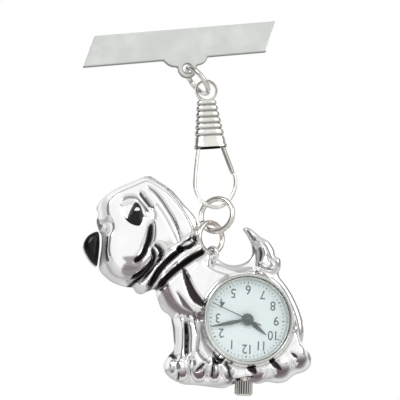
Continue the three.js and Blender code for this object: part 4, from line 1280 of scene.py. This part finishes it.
    LIP = [
        (-20.9, -37.0), (-21.2, -39.0), (-21.5, -41.0), (-22.0, -43.4), (-22.3, -44.6), (-20.6, -46.0),
        (-19.6, -44.6), (-20.0, -42.4), (-19.9, -40.4), (-19.5, -38.6), (-19.6, -37.0)
    ]
    GLINT = [(-13.45, -33.8), (-12.95, -33.25), (-12.5, -33.35), (-12.3, -33.85), (-12.85, -33.95)]
    PUPIL = [
        (-12.9, -32.3), (-12.05, -33.1), (-12.15, -34.6), (-12.4, -36.5), (-13.5, -36.5), (-14.6, -35.7),
        (-14.4, -34.5)
    ]
    NOSE = [
        (-21.4, -37.3), (-23.2, -37.75), (-24.4, -39.1), (-24.6, -40.6), (-23.7, -42.9), (-22.5, -44.25),
        (-22.05, -43.4), (-21.5, -41.0), (-21.2, -39.0)
    ]

    def ring(self, points: Points) -> np.ndarray:
        """A smooth closed outline at the flange, from points of the dog's drawing."""
        return smooth_path(np.array(points, float), 4 * len(points), True) + np.array(self.offset)

    def lifted(self, points: Points, top: float | Field) -> np.ndarray:
        """Points of the drawing moved left and down in step with how far the casting stands up there.

        Args:
            points: the points, [x, z].
            top: how far the casting stands up, or the function that gives it at each point.

        Returns:
            The moved points, one per row.
        """
        p = np.array(points, float)
        y = self.flange - (top(p) if callable(top) else top)
        return p + np.outer(y + 0.5, self.lean)

    def line(self, points: Points) -> np.ndarray:
        """A smooth open path laid on the raised forms."""
        return smooth_path(self.lifted(points, self.rise), max(2, 5 * len(points)))

    def patch_ring(self, points: Points) -> np.ndarray:
        """A smooth closed outline laid on the raised forms."""
        return smooth_path(self.lifted(points, self.rise), 4 * len(points), True)

    def form_rise(self, form: Relief, p: np.ndarray) -> tuple[np.ndarray, np.ndarray]:
        """One form's height and depth at each place.

        The height rises as 1 less the square of what is left of the roll, and then by the form's swell.

        Args:
            form: the raised form.
            p: the places, one [x, z] per row.

        Returns:
            The height and the depth inside the form.
        """
        depth, _ = depth_inside(
            p, smooth_path(self.lifted(form.outline, 0.35 * form.height), 4 * len(form.outline), True)
        )
        t = np.clip(depth / form.roll, 0, 1)
        return form.height * (1 - (1 - t) ** 2) + form.swell * ease(depth / 4.0), depth

    def rise(self, p: np.ndarray) -> np.ndarray:
        """The highest raised form at each place."""
        return np.maximum.reduce([self.form_rise(form, p)[0] for form in self.RELIEFS.values()])

    def height(self, p: np.ndarray) -> tuple[np.ndarray, np.ndarray, np.ndarray]:
        """How far the front stands above the flange at each [x, z], and how much painted shadow and shade it
        gets there.

        Forms join by the larger of the two. A groove takes off its depth times a bell curve of the
        distance to it, and a tone takes off its depth over its whole outline.

        Args:
            p: the places, one per row.

        Returns:
            The height in millimetres, the painted shadow and the warmer painted shade, both from 0 to 1.
        """
        top, dark, shade = np.zeros(len(p)), np.zeros(len(p)), np.zeros(len(p))
        for form in self.RELIEFS.values():
            rise, depth = self.form_rise(form, p)
            # Painted shade along each form's foot, where it rises from lower ground.
            lip = np.exp(-(((depth - 0.1) / 0.4) ** 2)) * (top < form.height * 0.8)
            shade = np.where(rise > top, shade * 0.3, shade)
            shade = np.maximum(shade, form.lip * lip)
            top = np.maximum(top, rise)
        for x, z, across, up, high in self.TOES:
            centre = self.lifted([(x, z)], 0.6 * high)[0]
            off = (p - centre) / np.array([across, up])
            reach = (np.abs(off) ** 2.3).sum(axis=1)
            dome = high * np.maximum(1 - reach, 0) ** 0.45
            # Painted shade on the lower half of each toe, as if lit from above, and round its edge.
            under = ease((-off[:, 1] + 0.1) / 0.7) * (reach < 1)
            shade = np.where(dome > top, under, shade)
            edge = np.exp(-(((reach - 1) / 0.2) ** 2)) * (top < dome + high * 0.5)
            shade = np.maximum(shade, 0.7 * edge)
            top = np.maximum(top, dome)
        away = np.hypot(*(p - np.array(WATCH_CENTRE)).T)
        clear = away > self.rim
        # Painted shade in a ring round the foot of the watch's cup.
        shade = np.maximum(shade * clear, 0.4 * np.exp(-(((away - self.cup_reach + 0.1) / 0.2) ** 2)))
        top = np.maximum(top, self.cup_height * quarter_round((self.cup_reach - away) / self.cup_roll))
        for tone in self.TONES:
            depth, _ = depth_inside(p, self.patch_ring(tone.outline))
            inside = ease(depth / tone.soft + 0.5) * clear
            top -= tone.depth * inside
            # Painted shadow and painted shade over the tone's patch.
            dark, shade = np.maximum(dark, tone.dark * inside), np.maximum(shade, tone.shade * inside)
        for groove in self.GROOVES:
            distance, _, along = segment_distance(p, self.line(groove.path), False)
            width = groove.half * (0.4 + 0.6 * np.sqrt(np.clip(4 * along * (1 - along), 0, 1)))
            bell = np.exp(-((distance / (1.3 * width)) ** 2)) * clear
            top = np.maximum(top - groove.depth * bell, np.minimum(top, 0.15))
            # Painted shadow along the groove's floor.
            dark = np.maximum(dark, groove.dark * np.exp(-((distance / width) ** 4)) * clear)
        socket, _ = depth_inside(p, self.patch_ring(self.EYE_SOCKET))
        top -= 0.45 * ease(socket / 0.9)
        pupil, _ = depth_inside(p, self.patch_ring(self.PUPIL))
        top -= 0.3 * ease(pupil / 0.15)
        return top, dark, shade

    def in_crown_room(self, p: np.ndarray) -> np.ndarray:
        """How deep each [x, z] lies in the slot round the crown, in millimetres, or negative.

        Args:
            p: the places, one [x, z] per row.

        Returns:
            The depth inside the slot.
        """
        turn = math.radians(WATCH_TURN_DEG)
        away = p - np.array(WATCH_CENTRE)
        up = away @ np.array([math.sin(turn), math.cos(turn)])
        side = np.abs(away @ np.array([math.cos(turn), -math.sin(turn)]))
        half, start = self.crown_slot
        return np.minimum(half - side, up - start)

    def casting(self, finish: Finish) -> None:
        """Builds the casting round the watch's bore, and the eyelet behind the neck.

        Args:
            finish: the watch's finishes.
        """
        ring = self.ring(self.SILHOUETTE)
        shape = Pierced(ring, np.array(WATCH_CENTRE), self.seat)

        def front(p: np.ndarray, d: np.ndarray) -> np.ndarray:
            """The flange with its rolled edge, the relief on it, and the slot for the crown.

            Args:
                p: the places, one [x, z] per row.
                d: how deep each lies inside the casting.

            Returns:
                The front's y at each place.
            """
            top = self.height(p)[0]
            bore = np.hypot(*(p - shape.centre).T) < self.seat + 0.6
            roll = np.where(bore, 0, 0.7 * (1 - quarter_round(d / 0.75)))
            y = self.flange + roll - top * np.where(bore, 1, ease(d / 0.5))
            slot = ease(self.in_crown_room(p) / 0.25 + 0.5)
            return y * (1 - slot) + np.maximum(y, self.flange + 0.02) * slot

        def values(p: np.ndarray, d: np.ndarray) -> dict[str, np.ndarray]:
            """Painted shadow in the hollows and the crown's slot, painted shade along the flange, and the
            satin lip.

            Args:
                p: the places, one [x, z] per row.
                d: how deep each lies inside the casting.

            Returns:
                Each named value at each place, from 0 to 1.
            """
            _, dark, shade = self.height(p)
            outer = depth_inside(p, ring)[0]
            # Painted shade along the outline's edge, and painted shadow in the crown's slot.
            edge = 0.4 * np.exp(-((outer / 0.2) ** 2))
            slot = 0.9 * ease(self.in_crown_room(p) / 0.3 + 0.5)
            side = ease(depth_inside(p, self.patch_ring(self.LIP))[0] / 0.4 + 0.5)
            return {
                "hollow": np.clip(np.maximum(dark, slot), 0, 1),
                "shade": np.clip(np.maximum(shade, edge), 0, 1),
                "satin": side,
            }

        room = (-22.6, 19.8, -72.4, -26.2)
        patch = sheet_solid(shape.depth, shape.place, front, self.back, room, self.step, 0.35, values, 3)
        turn, reach = np.linspace(0, TWO_PI, 90, endpoint=False), 1.42
        loop = np.stack([0 * turn, reach * np.sin(turn), reach * np.cos(turn)], axis=1)
        eyelet = tube_patch(loop, np.full(90, 0.42), 18, closed=True, axis=(1, 0, 0))
        # A faint painted shadow on the eyelet, which sits behind the neck.
        eyelet.values["hollow"] = np.full(len(eyelet.vertices), 0.15)
        spot = Matrix.Translation((1.4, -0.5, -44.35)) @ Matrix.Rotation(math.radians(32), 4, "Z")
        build(
            "dog_casting", [patch, moved(eyelet, spot)], finish.case, Body.CASE, ("case_body",),
            80
        )

    def inlay(self, name: str, points: Points, back: float, front_y: float, roll: float, lift: float,
              finish: bpy.types.Material, node: str) -> None:
        """Builds a domed inlay of enamel.

        Args:
            name: the piece's name.
            points: its outline in the dog's drawing.
            back: the y of its hidden back.
            front_y: the y of its highest point.
            roll: how broadly its edge rounds over.
            lift: how far above the flange its outline is drawn.
            finish: its enamel.
            node: the solid that it stands for.
        """
        ring = smooth_path(self.lifted(points, lift), 6 * len(points), True)
        low, high = ring.min(0) - 0.4, ring.max(0) + 0.4

        def front(p: np.ndarray, d: np.ndarray) -> np.ndarray:
            """A dome: a quarter round over the roll."""
            return front_y + roll * (1 - quarter_round(d / (1.25 * roll)))

        patch = sheet_solid(
            lambda p: depth_inside(p, ring)[0], lambda p: depth_inside(p, ring)[1], front, back,
            (low[0], high[0], low[1], high[1]), 0.1, 0.05
        )
        build(name, [patch], finish, Body.CASE, (node,), 60)

    def dress(self, finish: Finish) -> None:
        """Builds the casting, the nose and the eye.

        Args:
            finish: the watch's finishes.
        """
        self.casting(finish)
        self.inlay("nose_drop", self.NOSE, 2.0, -1.65, 1.3, 1.4, finish.enamel, "nose_enamel")
        self.inlay("eye_pupil", self.PUPIL, -3.6, -4.75, 0.35, 5.0, finish.enamel, "eye_enamel")
        # The eye's glint is a painted highlight: a small white dome on the pupil.
        self.inlay(
            "eye_glint", self.GLINT, -4.6, -4.86, 0.1, 5.0, finish.catchlight, "eye_enamel"
        )


# ---- watch ---------------------------------------------------------------------------------------------


@dataclass
class Watch:
    """The round watch in the dog's side, drawn upright with twelve at the top and then turned into place."""

    dial_front: float = -3.05
    track: float = 7.45
    numeral_ring: float = 6.0
    numeral_size: float = 2.65
    hour: float = 10.0
    minute: float = 12.4
    second: float = 18.75

    def place(self) -> Matrix:
        """The turn and shift that carry the upright watch into the dog's side."""
        x, z = WATCH_CENTRE
        return Matrix.Translation((x, 0, z)) @ Matrix.Rotation(math.radians(WATCH_TURN_DEG), 4, "Y")

    def piece(self, name: str, patches: list[Patch], material: bpy.types.Material,
              node: str = "", smooth_below: float = 40.0, body: Body = Body.CASE) -> None:
        """Builds a piece from patches drawn upright, and sets it in the dog's side.

        Args:
            name: the piece's name.
            patches: the surfaces that together close it.
            material: what it is dressed in.
            node: the solid that it stands for, or none.
            smooth_below: the angle in degrees under which two faces shade as one curve.
            body: the body it rides on.
        """
        set_in = [moved(patch, self.place()) for patch in patches]
        build(name, set_in, material, body, (node,) if node else (), smooth_below)

    def box_patch(
        self, turns: np.ndarray, inner: float, outer: float, half: np.ndarray, y0: float, y1: float
    ) -> Patch:
        """Thin blocks pointing outwards, one for each turn of the dial.

        Args:
            turns: where each stands, as shares of a turn clockwise from twelve.
            inner: each block's inner end.
            outer: each block's outer end.
            half: each block's half width.
            y0: the back of the blocks.
            y1: the front of the blocks.

        Returns:
            All the blocks; a corner is along times the outward direction plus across times its square.
        """
        out = np.stack([np.sin(TWO_PI * turns), np.cos(TWO_PI * turns)], axis=1)
        side = np.stack([out[:, 1], -out[:, 0]], axis=1)
        along = np.array([inner, outer, outer, inner] * 2)
        across = np.array([-1, -1, 1, 1] * 2)
        depth = np.array([y0] * 4 + [y1] * 4)
        reach, spread = along[None, :, None], (across * half[:, None])[:, :, None]
        flat = reach * out[:, None, :] + spread * side[:, None, :]
        points = np.stack([flat[:, :, 0], np.broadcast_to(depth, flat.shape[:2]), flat[:, :, 1]], axis=-1)
        cube = np.array(
            [[0, 1, 2, 3], [7, 6, 5, 4], [0, 4, 5, 1], [1, 5, 6, 2], [2, 6, 7, 3], [3, 7, 4, 0]]
        )
        faces = (cube[None] + 8 * np.arange(len(turns))[:, None, None]).reshape(-1, 4)
        return Patch(points.reshape(-1, 3), faces.tolist())

    def numerals(self) -> list[Patch]:
        """The hour numbers, each upright on the dial and a little raised as thick ink is.

        Returns:
            One patch for each number.
        """
        patches = []
        for number in range(1, 13):
            curve = bpy.data.curves.new(f"number_{number}", "FONT")
            curve.body, curve.size, curve.extrude = str(number), self.numeral_size, 0.012
            curve.align_x, curve.align_y, curve.offset = "CENTER", "CENTER", 0.015
            curve.space_character = 0.92
            text = bpy.data.objects.new(curve.name, curve)
            bpy.context.scene.collection.objects.link(text)
            bpy.context.view_layer.update()
            mesh = text.evaluated_get(bpy.context.evaluated_depsgraph_get()).to_mesh()
            flat = np.empty(len(mesh.vertices) * 3)
            mesh.vertices.foreach_get("co", flat)
            flat = flat.reshape(-1, 3)
            x, z, rise = (flat - (flat.min(0) + flat.max(0)) / 2 * (1, 1, 0)).T
            turn = TWO_PI * number / 12
            x = 0.9 * x + self.numeral_ring * math.sin(turn)
            z = z + self.numeral_ring * math.cos(turn)
            shape = np.stack([x, self.dial_front - 0.004 - rise, z], axis=1)
            patches.append(Patch(shape, [list(f.vertices) for f in mesh.polygons]))
            bpy.data.objects.remove(text)
        return patches

    def dial(self, finish: Finish) -> None:
        """Builds the dial: a thin lacquered disc with a printed minute track and numbers.

        Args:
            finish: the watch's finishes.
        """
        y = self.dial_front
        face = softened([(0.86, y + 0.3), (0.86, y), (7.0, y), (8.68, y), (8.68, y + 0.3)], 0.03, True)
        self.piece("dial_face", [turned_patch(face, 120, ring=True)], finish.dial, "dial")
        minutes = np.arange(60)
        fives, track, sunk = minutes % 5 == 0, self.track, y + 0.02
        fine = self.box_patch(
            minutes[~fives] / 60, track - 0.13, track + 0.2, np.full(48, 0.06), sunk, y - 0.014
        )
        bold = self.box_patch(
            minutes[fives] / 60, track - 0.22, track + 0.26, np.full(12, 0.1), sunk, y - 0.016
        )
        marks = [fine, bold, *self.numerals()]
        self.piece("dial_print", marks, finish.print, smooth_below=20)

    def hand(
        self, name: str, turns: float, profile: Points, hub: float, bore: float, y: tuple[float, float],
        finish: Finish, body: Body, node: str
    ) -> None:
        """Builds a hand: a blade with a ridge down its middle, on a turned hub.

        Args:
            name: the piece's name.
            turns: where it points, as a share of a turn clockwise from twelve.
            profile: [along, half width] from tail to tip.
            hub: the hub's radius.
            bore: the hole's radius.
            y: the back and the front of the hand.
            finish: the watch's finishes.
            body: the body it rides on.
            node: the solid that it stands for.
        """
        pts = smooth_path(np.array(profile), 60)
        half = np.maximum(pts[:, 1], 0.01)[:, None]
        across = np.array([[-1.0, -0.6, 0.0, 0.6, 1.0, 0.0]])
        rise = np.array([[0.35, 0.7, 1.0, 0.7, 0.35, 0.0]])
        x, along = across * half, pts[:, :1] + 0 * across
        depth = y[0] + (y[1] - y[0]) * rise + 0 * along
        blade = grid_patch(np.stack([x, depth, along], axis=-1), False, True)
        end = len(blade.vertices)
        blade.faces += [[5, 4, 3, 2, 1, 0], list(range(end - 6, end))]
        ring = softened([(bore, y[0]), (hub, y[0]), (hub, y[1]), (bore, y[1])], 0.04, True)
        point = Matrix.Rotation(TWO_PI * turns, 4, "Y")
        patches = [moved(blade, point), turned_patch(ring, 48, ring=True)]
        if body is Body.SECONDS:
            cap = softened([(0, -4.06), (0.3, -4.05), (0.5, -3.99), (0.5, -3.995), (0, -3.995)], 0.02)
            patches.append(turned_patch(cap, 48))
        self.piece(name, patches, finish.hands, node, 30, body)

    def hands(self, finish: Finish) -> None:
        """Builds the three hands at the time shown.

        Args:
            finish: the watch's finishes.
        """
        minutes = self.minute + self.second / 60
        hour = [(-1.2, 0.16), (0.4, 0.2), (1.3, 0.34), (2.4, 0.42), (3.8, 0.24), (4.6, 0.1), (4.95, 0.03)]
        minute = [
            (-1.2, 0.14), (0.4, 0.2), (2.0, 0.34), (3.6, 0.4), (5.8, 0.24), (7.2, 0.11), (7.8, 0.05)
        ]
        sweep = [(-2.95, 0.15), (-1.6, 0.14), (0, 0.11), (4, 0.1), (7.9, 0.08)]
        self.hand(
            "hour_blade", (self.hour + minutes / 60) / 12, hour, 1.0, 0.72, (-3.34, -3.45), finish,
            Body.HOURS, "hour_hand"
        )
        self.hand(
            "minute_blade", minutes / 60, minute, 1.22, 0.43, (-3.59, -3.7), finish, Body.MINUTES,
            "minute_hand"
        )
        self.hand(
            "second_needle", self.second / 60, sweep, 0.5, 0.19, (-3.905, -3.985), finish, Body.SECONDS,
            "second_hand"
        )

    def window(self, finish: Finish) -> None:
        """Builds the bezel, the sloped ring round the dial, and the domed glass.

        Args:
            finish: the watch's finishes.
        """
        bezel = softened(
            [(8.65, -4.03), (9.2, -4.03), (9.2, -4.95), (9.06, -5.28), (8.8, -5.3), (8.65, -5.14)],
            0.14, True
        )
        self.piece(
            "bezel_ring", [turned_patch(bezel, 160, ring=True)], finish.bezel, "bezel", 60
        )
        slope = softened(
            [(8.0, -3.1), (8.7, -3.1), (8.7, -3.98), (8.5, -4.14), (8.28, -4.14)], 0.06, True
        )
        surround = [turned_patch(slope, 140, ring=True)]
        self.piece("dial_surround", surround, finish.bezel, "rehaut_ring", 50)
        r = np.linspace(0, 8.45, 24)
        dome = np.stack([r, -5.23 + 0.13 * (r / 8.45) ** 2], axis=1)
        glass = np.vstack([dome, softened([(8.45, -5.1), (8.6, -5.0), (8.6, -4.2), (0, -4.2)], 0.05)])
        self.piece("glass_dome", [turned_patch(glass, 140)], finish.glass, "crystal")

    def lid(self, finish: Finish) -> None:
        """Builds the lid: a pressed disc with two turned steps, a rolled edge and a case-knife notch.

        Args:
            finish: the watch's finishes.
        """
        profile = softened(
            [
                (0, 2.33), (8.25, 2.33), (8.25, 1.78), (8.68, 1.78), (8.72, 2.33), (9.62, 2.33),
                (9.62, 2.6), (9.3, 2.9), (8.5, 2.9), (8.42, 2.84), (8.2, 2.84), (8.12, 2.9), (3.2, 2.9),
                (3.14, 2.86), (3.0, 2.86), (2.94, 2.9), (0, 2.9)
            ],
            0.06
        )
        patch = turned_patch(profile, 160)
        x, y, z = patch.vertices.T
        notch = (np.abs(x) < 1.1) & (z < -9.25) & (y < 2.66) & (y > 2.3)
        patch.vertices[notch, 2] = -9.25
        self.piece("lid_disc", [patch], finish.lid, "case_back", 35)

    def crown(self, finish: Finish) -> None:
        """Builds the crown: a fluted drum with a domed end.

        The radius of the drum is its profile less 0.17 times what is left of a rounded wave of 22 flutes.

        Args:
            finish: the watch's finishes.
        """
        inner, outer, radius, y = 12.35, 15.3, 1.83, -1.4
        profile = softened(
            [
                (1.15, inner + 0.9), (1.15, inner), (1.62, inner), (radius, inner + 0.22),
                (radius, outer - 0.5), (1.6, outer - 0.2), (1.3, outer - 0.05), (0.85, outer), (0, outer)
            ],
            0.1
        )
        fine = smooth_path(profile, 90)
        angle = np.linspace(0, TWO_PI, 264, endpoint=False)[None, :]
        wave = np.clip(0.5 - 0.9 * np.cos(22 * angle), 0, 1)
        knurl = ease((fine[:, :1] - 1.55) / 0.2) * (fine[:, 1:2] > inner + 0.05)
        r = fine[:, :1] - 0.17 * knurl * (1 - wave)
        grid = np.stack([r * np.cos(angle), y + r * np.sin(angle), fine[:, 1:2] + 0 * angle], axis=-1)
        patch = grid_patch(grid, False, True)
        # Painted shadow in the floor of each flute.
        patch.values["hollow"] = (0.9 * knurl * (1 - wave) + 0 * r).ravel()
        reach = np.array([[0.43], [1.15]])
        disc = [reach * np.cos(angle), y + reach * np.sin(angle), inner + 0.9 + 0 * reach * angle]
        floor = grid_patch(np.stack(disc, axis=-1), False, True)
        self.piece("crown_knob", [patch, floor], finish.nickel, "crown", 55, Body.CROWN)

    def dress(self, finish: Finish) -> None:
        """Builds the visible watch and finishes the movement inside it.

        Args:
            finish: the watch's finishes.
        """
        self.dial(finish)
        self.hands(finish)
        self.window(finish)
        self.lid(finish)
        self.crown(finish)
        finishes = {
            finish.brass: (
                "main_plate", "intermediate_wheel", "seconds_wheel", "third_wheel", "centre_wheel",
                "minute_wheel", "hour_wheel"
            ),
            finish.nickel: ("crown_tube",),
            finish.steel: (
                "train_bridge", "bridge_screw_1", "bridge_screw_2", "bridge_screw_3", "stator",
                "coil_core", "quartz_can", "battery_cell", "battery_strap", "sliding_pinion",
                "winding_stem", "rotor", "setting_wheel"
            ),
            finish.copper: ("coil_winding",),
            finish.board: ("circuit_board",),
            finish.plastic: ("movement_holder",),
            finish.rubber: ("case_gasket",),
        }
        for material, nodes in finishes.items():
            for node in nodes:
                dress_node(node, material)


# ---- room ----------------------------------------------------------------------------------------------


@dataclass
class Studio:
    """A pale floor, soft light all round and the camera."""

    target: tuple[float, float, float] = (0.1, -1.0, -33.0)
    floor_height: float = -112.0
    azimuth_deg: float = -9.0
    elevation_deg: float = -8.0
    roll_deg: float = 6.85
    lens: float = 150.0
    view_width: float = 82.0

    # How bright the room is, as [place, brightness], from left to right and from below to above.
    SIDE_WALLS = [
        (0.0, 0.25), (0.1, 0.14), (0.2, 0.45), (0.33, 0.85), (0.45, 1.0), (0.7, 1.0), (0.84, 0.9),
        (0.93, 0.35),
    ]
    FLOOR_TO_CEILING = [
        (0.0, 0.6), (0.12, 0.4), (0.2, 0.18), (0.28, 0.5), (0.38, 0.9), (0.5, 1.0), (0.8, 1.0),
        (0.93, 0.6),
    ]

    def floor(self) -> None:
        """Lays the floor below the watch: a sheet with a faint swell so that it isn't perfectly flat."""
        u = np.linspace(-600, 600, 25)
        gx, gy = np.meshgrid(u, u, indexing="ij")
        points = np.stack(
            [gx, gy, self.floor_height + 0.4 * np.sin(gx / 190) * np.cos(gy / 230)], axis=-1
        )
        patch = grid_patch(points)
        mesh = bpy.data.meshes.new("floor")
        mesh.from_pydata((patch.vertices * MM).tolist(), [], patch.faces)
        mesh.materials.append(
            Coat("pale floor", (0.86, 0.86, 0.85), (0.82, 0.82, 0.81), 0.8, 20.0).make()
        )
        mesh.shade_smooth()
        floor = bpy.data.objects.new("floor", mesh)
        bpy.context.scene.collection.objects.link(floor)

    def sky(self) -> None:
        """Lights the room: near-white, with darker walls low and to the sides for metal to mirror."""
        world = bpy.data.worlds.new("studio")
        world.use_nodes = True
        bpy.context.scene.world = world
        tree = world.node_tree
        coordinates = tree.nodes.new("ShaderNodeTexCoord")
        split = tree.nodes.new("ShaderNodeSeparateXYZ")
        tree.links.new(coordinates.outputs["Generated"], split.inputs[0])
        side = tree.nodes.new("ShaderNodeValToRGB")
        self.ramp(side, self.SIDE_WALLS, (0.99, 1.0, 0.99))
        tree.links.new(self.half(tree, split.outputs["X"]), side.inputs[0])
        upright = tree.nodes.new("ShaderNodeValToRGB")
        self.ramp(upright, self.FLOOR_TO_CEILING, (1.0, 1.0, 1.0))
        tree.links.new(self.half(tree, split.outputs["Z"]), upright.inputs[0])
        both = tree.nodes.new("ShaderNodeMix")
        both.data_type, both.blend_type = "RGBA", "MULTIPLY"
        both.inputs["Factor"].default_value = 1.0
        tree.links.new(side.outputs[0], both.inputs[6])
        tree.links.new(upright.outputs[0], both.inputs[7])
        behind = tree.nodes.new("ShaderNodeMapRange")
        behind.inputs["From Min"].default_value, behind.inputs["From Max"].default_value = 0.15, 0.55
        tree.links.new(split.outputs["Y"], behind.inputs[0])
        back = tree.nodes.new("ShaderNodeMix")
        back.data_type = "RGBA"
        back.inputs[7].default_value = (1.0, 1.0, 1.0, 1.0)
        tree.links.new(behind.outputs[0], back.inputs["Factor"])
        tree.links.new(both.outputs[2], back.inputs[6])
        tree.links.new(back.outputs[2], tree.nodes["Background"].inputs["Color"])
        tree.nodes["Background"].inputs["Strength"].default_value = 1.0

    @staticmethod
    def ramp(node: bpy.types.Node, stops: Points, tint: Colour) -> None:
        """Gives a colour ramp its stops, each a place and a brightness.

        Args:
            node: the ramp's node.
            stops: [place, brightness] for each stop.
            tint: what the brightness is multiplied by.
        """
        elements = node.color_ramp.elements
        while len(elements) < len(stops):
            elements.new(1.0)
        for element, (place, bright) in zip(elements, stops):
            element.position = place
            element.color = tuple(min(1.0, bright * t) for t in tint) + (1.0,)

    @staticmethod
    def half(tree: bpy.types.NodeTree, socket: bpy.types.NodeSocket) -> bpy.types.NodeSocket:
        """A direction's part, from -1 to 1, brought to 0 to 1.

        Args:
            tree: the world's nodes.
            socket: the direction's part.

        Returns:
            The socket that gives the result.
        """
        made = tree.nodes.new("ShaderNodeMath")
        made.operation = "MULTIPLY_ADD"
        made.inputs[1].default_value = made.inputs[2].default_value = 0.5
        tree.links.new(socket, made.inputs[0])
        return made.outputs[0]

    def lamp(self, name: str, at: tuple[float, float, float], size: float, watts: float) -> None:
        """Hangs a soft square lamp, in millimetres, facing the watch.

        Args:
            name: the lamp's name.
            at: where it hangs.
            size: its side.
            watts: its power.
        """
        data = bpy.data.lights.new(name, "AREA")
        data.size, data.energy = size * MM, watts
        lamp = bpy.data.objects.new(name, data)
        lamp.location = Vector(at) * MM
        lamp.rotation_euler = (Vector(self.target) - Vector(at)).to_track_quat("-Z", "Y").to_euler()
        bpy.context.scene.collection.objects.link(lamp)

    def camera(self) -> None:
        """Places the camera: a long lens, a little low and to the left, rolled so that the bar rises."""
        az, el = math.radians(self.azimuth_deg), math.radians(self.elevation_deg)
        away = Vector((math.sin(az) * math.cos(el), -math.cos(az) * math.cos(el), math.sin(el)))
        data = bpy.data.cameras.new("camera")
        data.lens, data.sensor_width = self.lens, 36.0
        data.clip_start, data.clip_end = 0.01, 10.0
        camera = bpy.data.objects.new("camera", data)
        distance = self.view_width * self.lens / 36.0
        camera.location = (Vector(self.target) + away * distance) * MM
        camera.rotation_mode = "QUATERNION"
        roll = Matrix.Rotation(math.radians(-self.roll_deg), 4, "Z").to_quaternion()
        camera.rotation_quaternion = (-away).to_track_quat("-Z", "Y") @ roll
        bpy.context.scene.collection.objects.link(camera)
        bpy.context.scene.camera = camera

    def dress(self) -> None:
        """Builds the room."""
        self.floor()
        self.sky()
        self.lamp("key", (-160, -260, 180), 160, 0.35)
        self.lamp("fill", (220, -200, 40), 180, 0.15)
        self.camera()
        bpy.context.scene.view_settings.view_transform = "Standard"


# ---- the whole fob watch -------------------------------------------------------------------------------


def main() -> None:
    """Builds every sub-assembly in order, from the bar down."""
    logging.basicConfig(level=logging.INFO, format="%(name)s: %(message)s")
    finish = Finish()
    Brooch().dress(finish)
    rings = (
        JumpRing(
            "upper_jump_ring", Body.UPPER_RING, (2.64, -0.5, -7.98), 3.2, 0.55, (("Y", 57), ("X", -8)),
            0.3
        ),
        JumpRing(
            "middle_jump_ring", Body.MIDDLE_RING, (3.2, -0.9, -36.4), 3.45, 0.58, (("Z", -30), ("X", 80)),
            0.55
        ),
        JumpRing(
            "lower_jump_ring", Body.LOWER_RING, (1.4, -0.9, -40.95), 3.1, 0.57, (("Z", 32), ("X", 95)),
            0.1
        ),
    )
    for ring in rings:
        ring.dress(finish)
    Clip().dress(finish)
    DogCasting().dress(finish)
    Watch().dress(finish)
    Studio().dress()


if __name__ == "__main__":
    main()
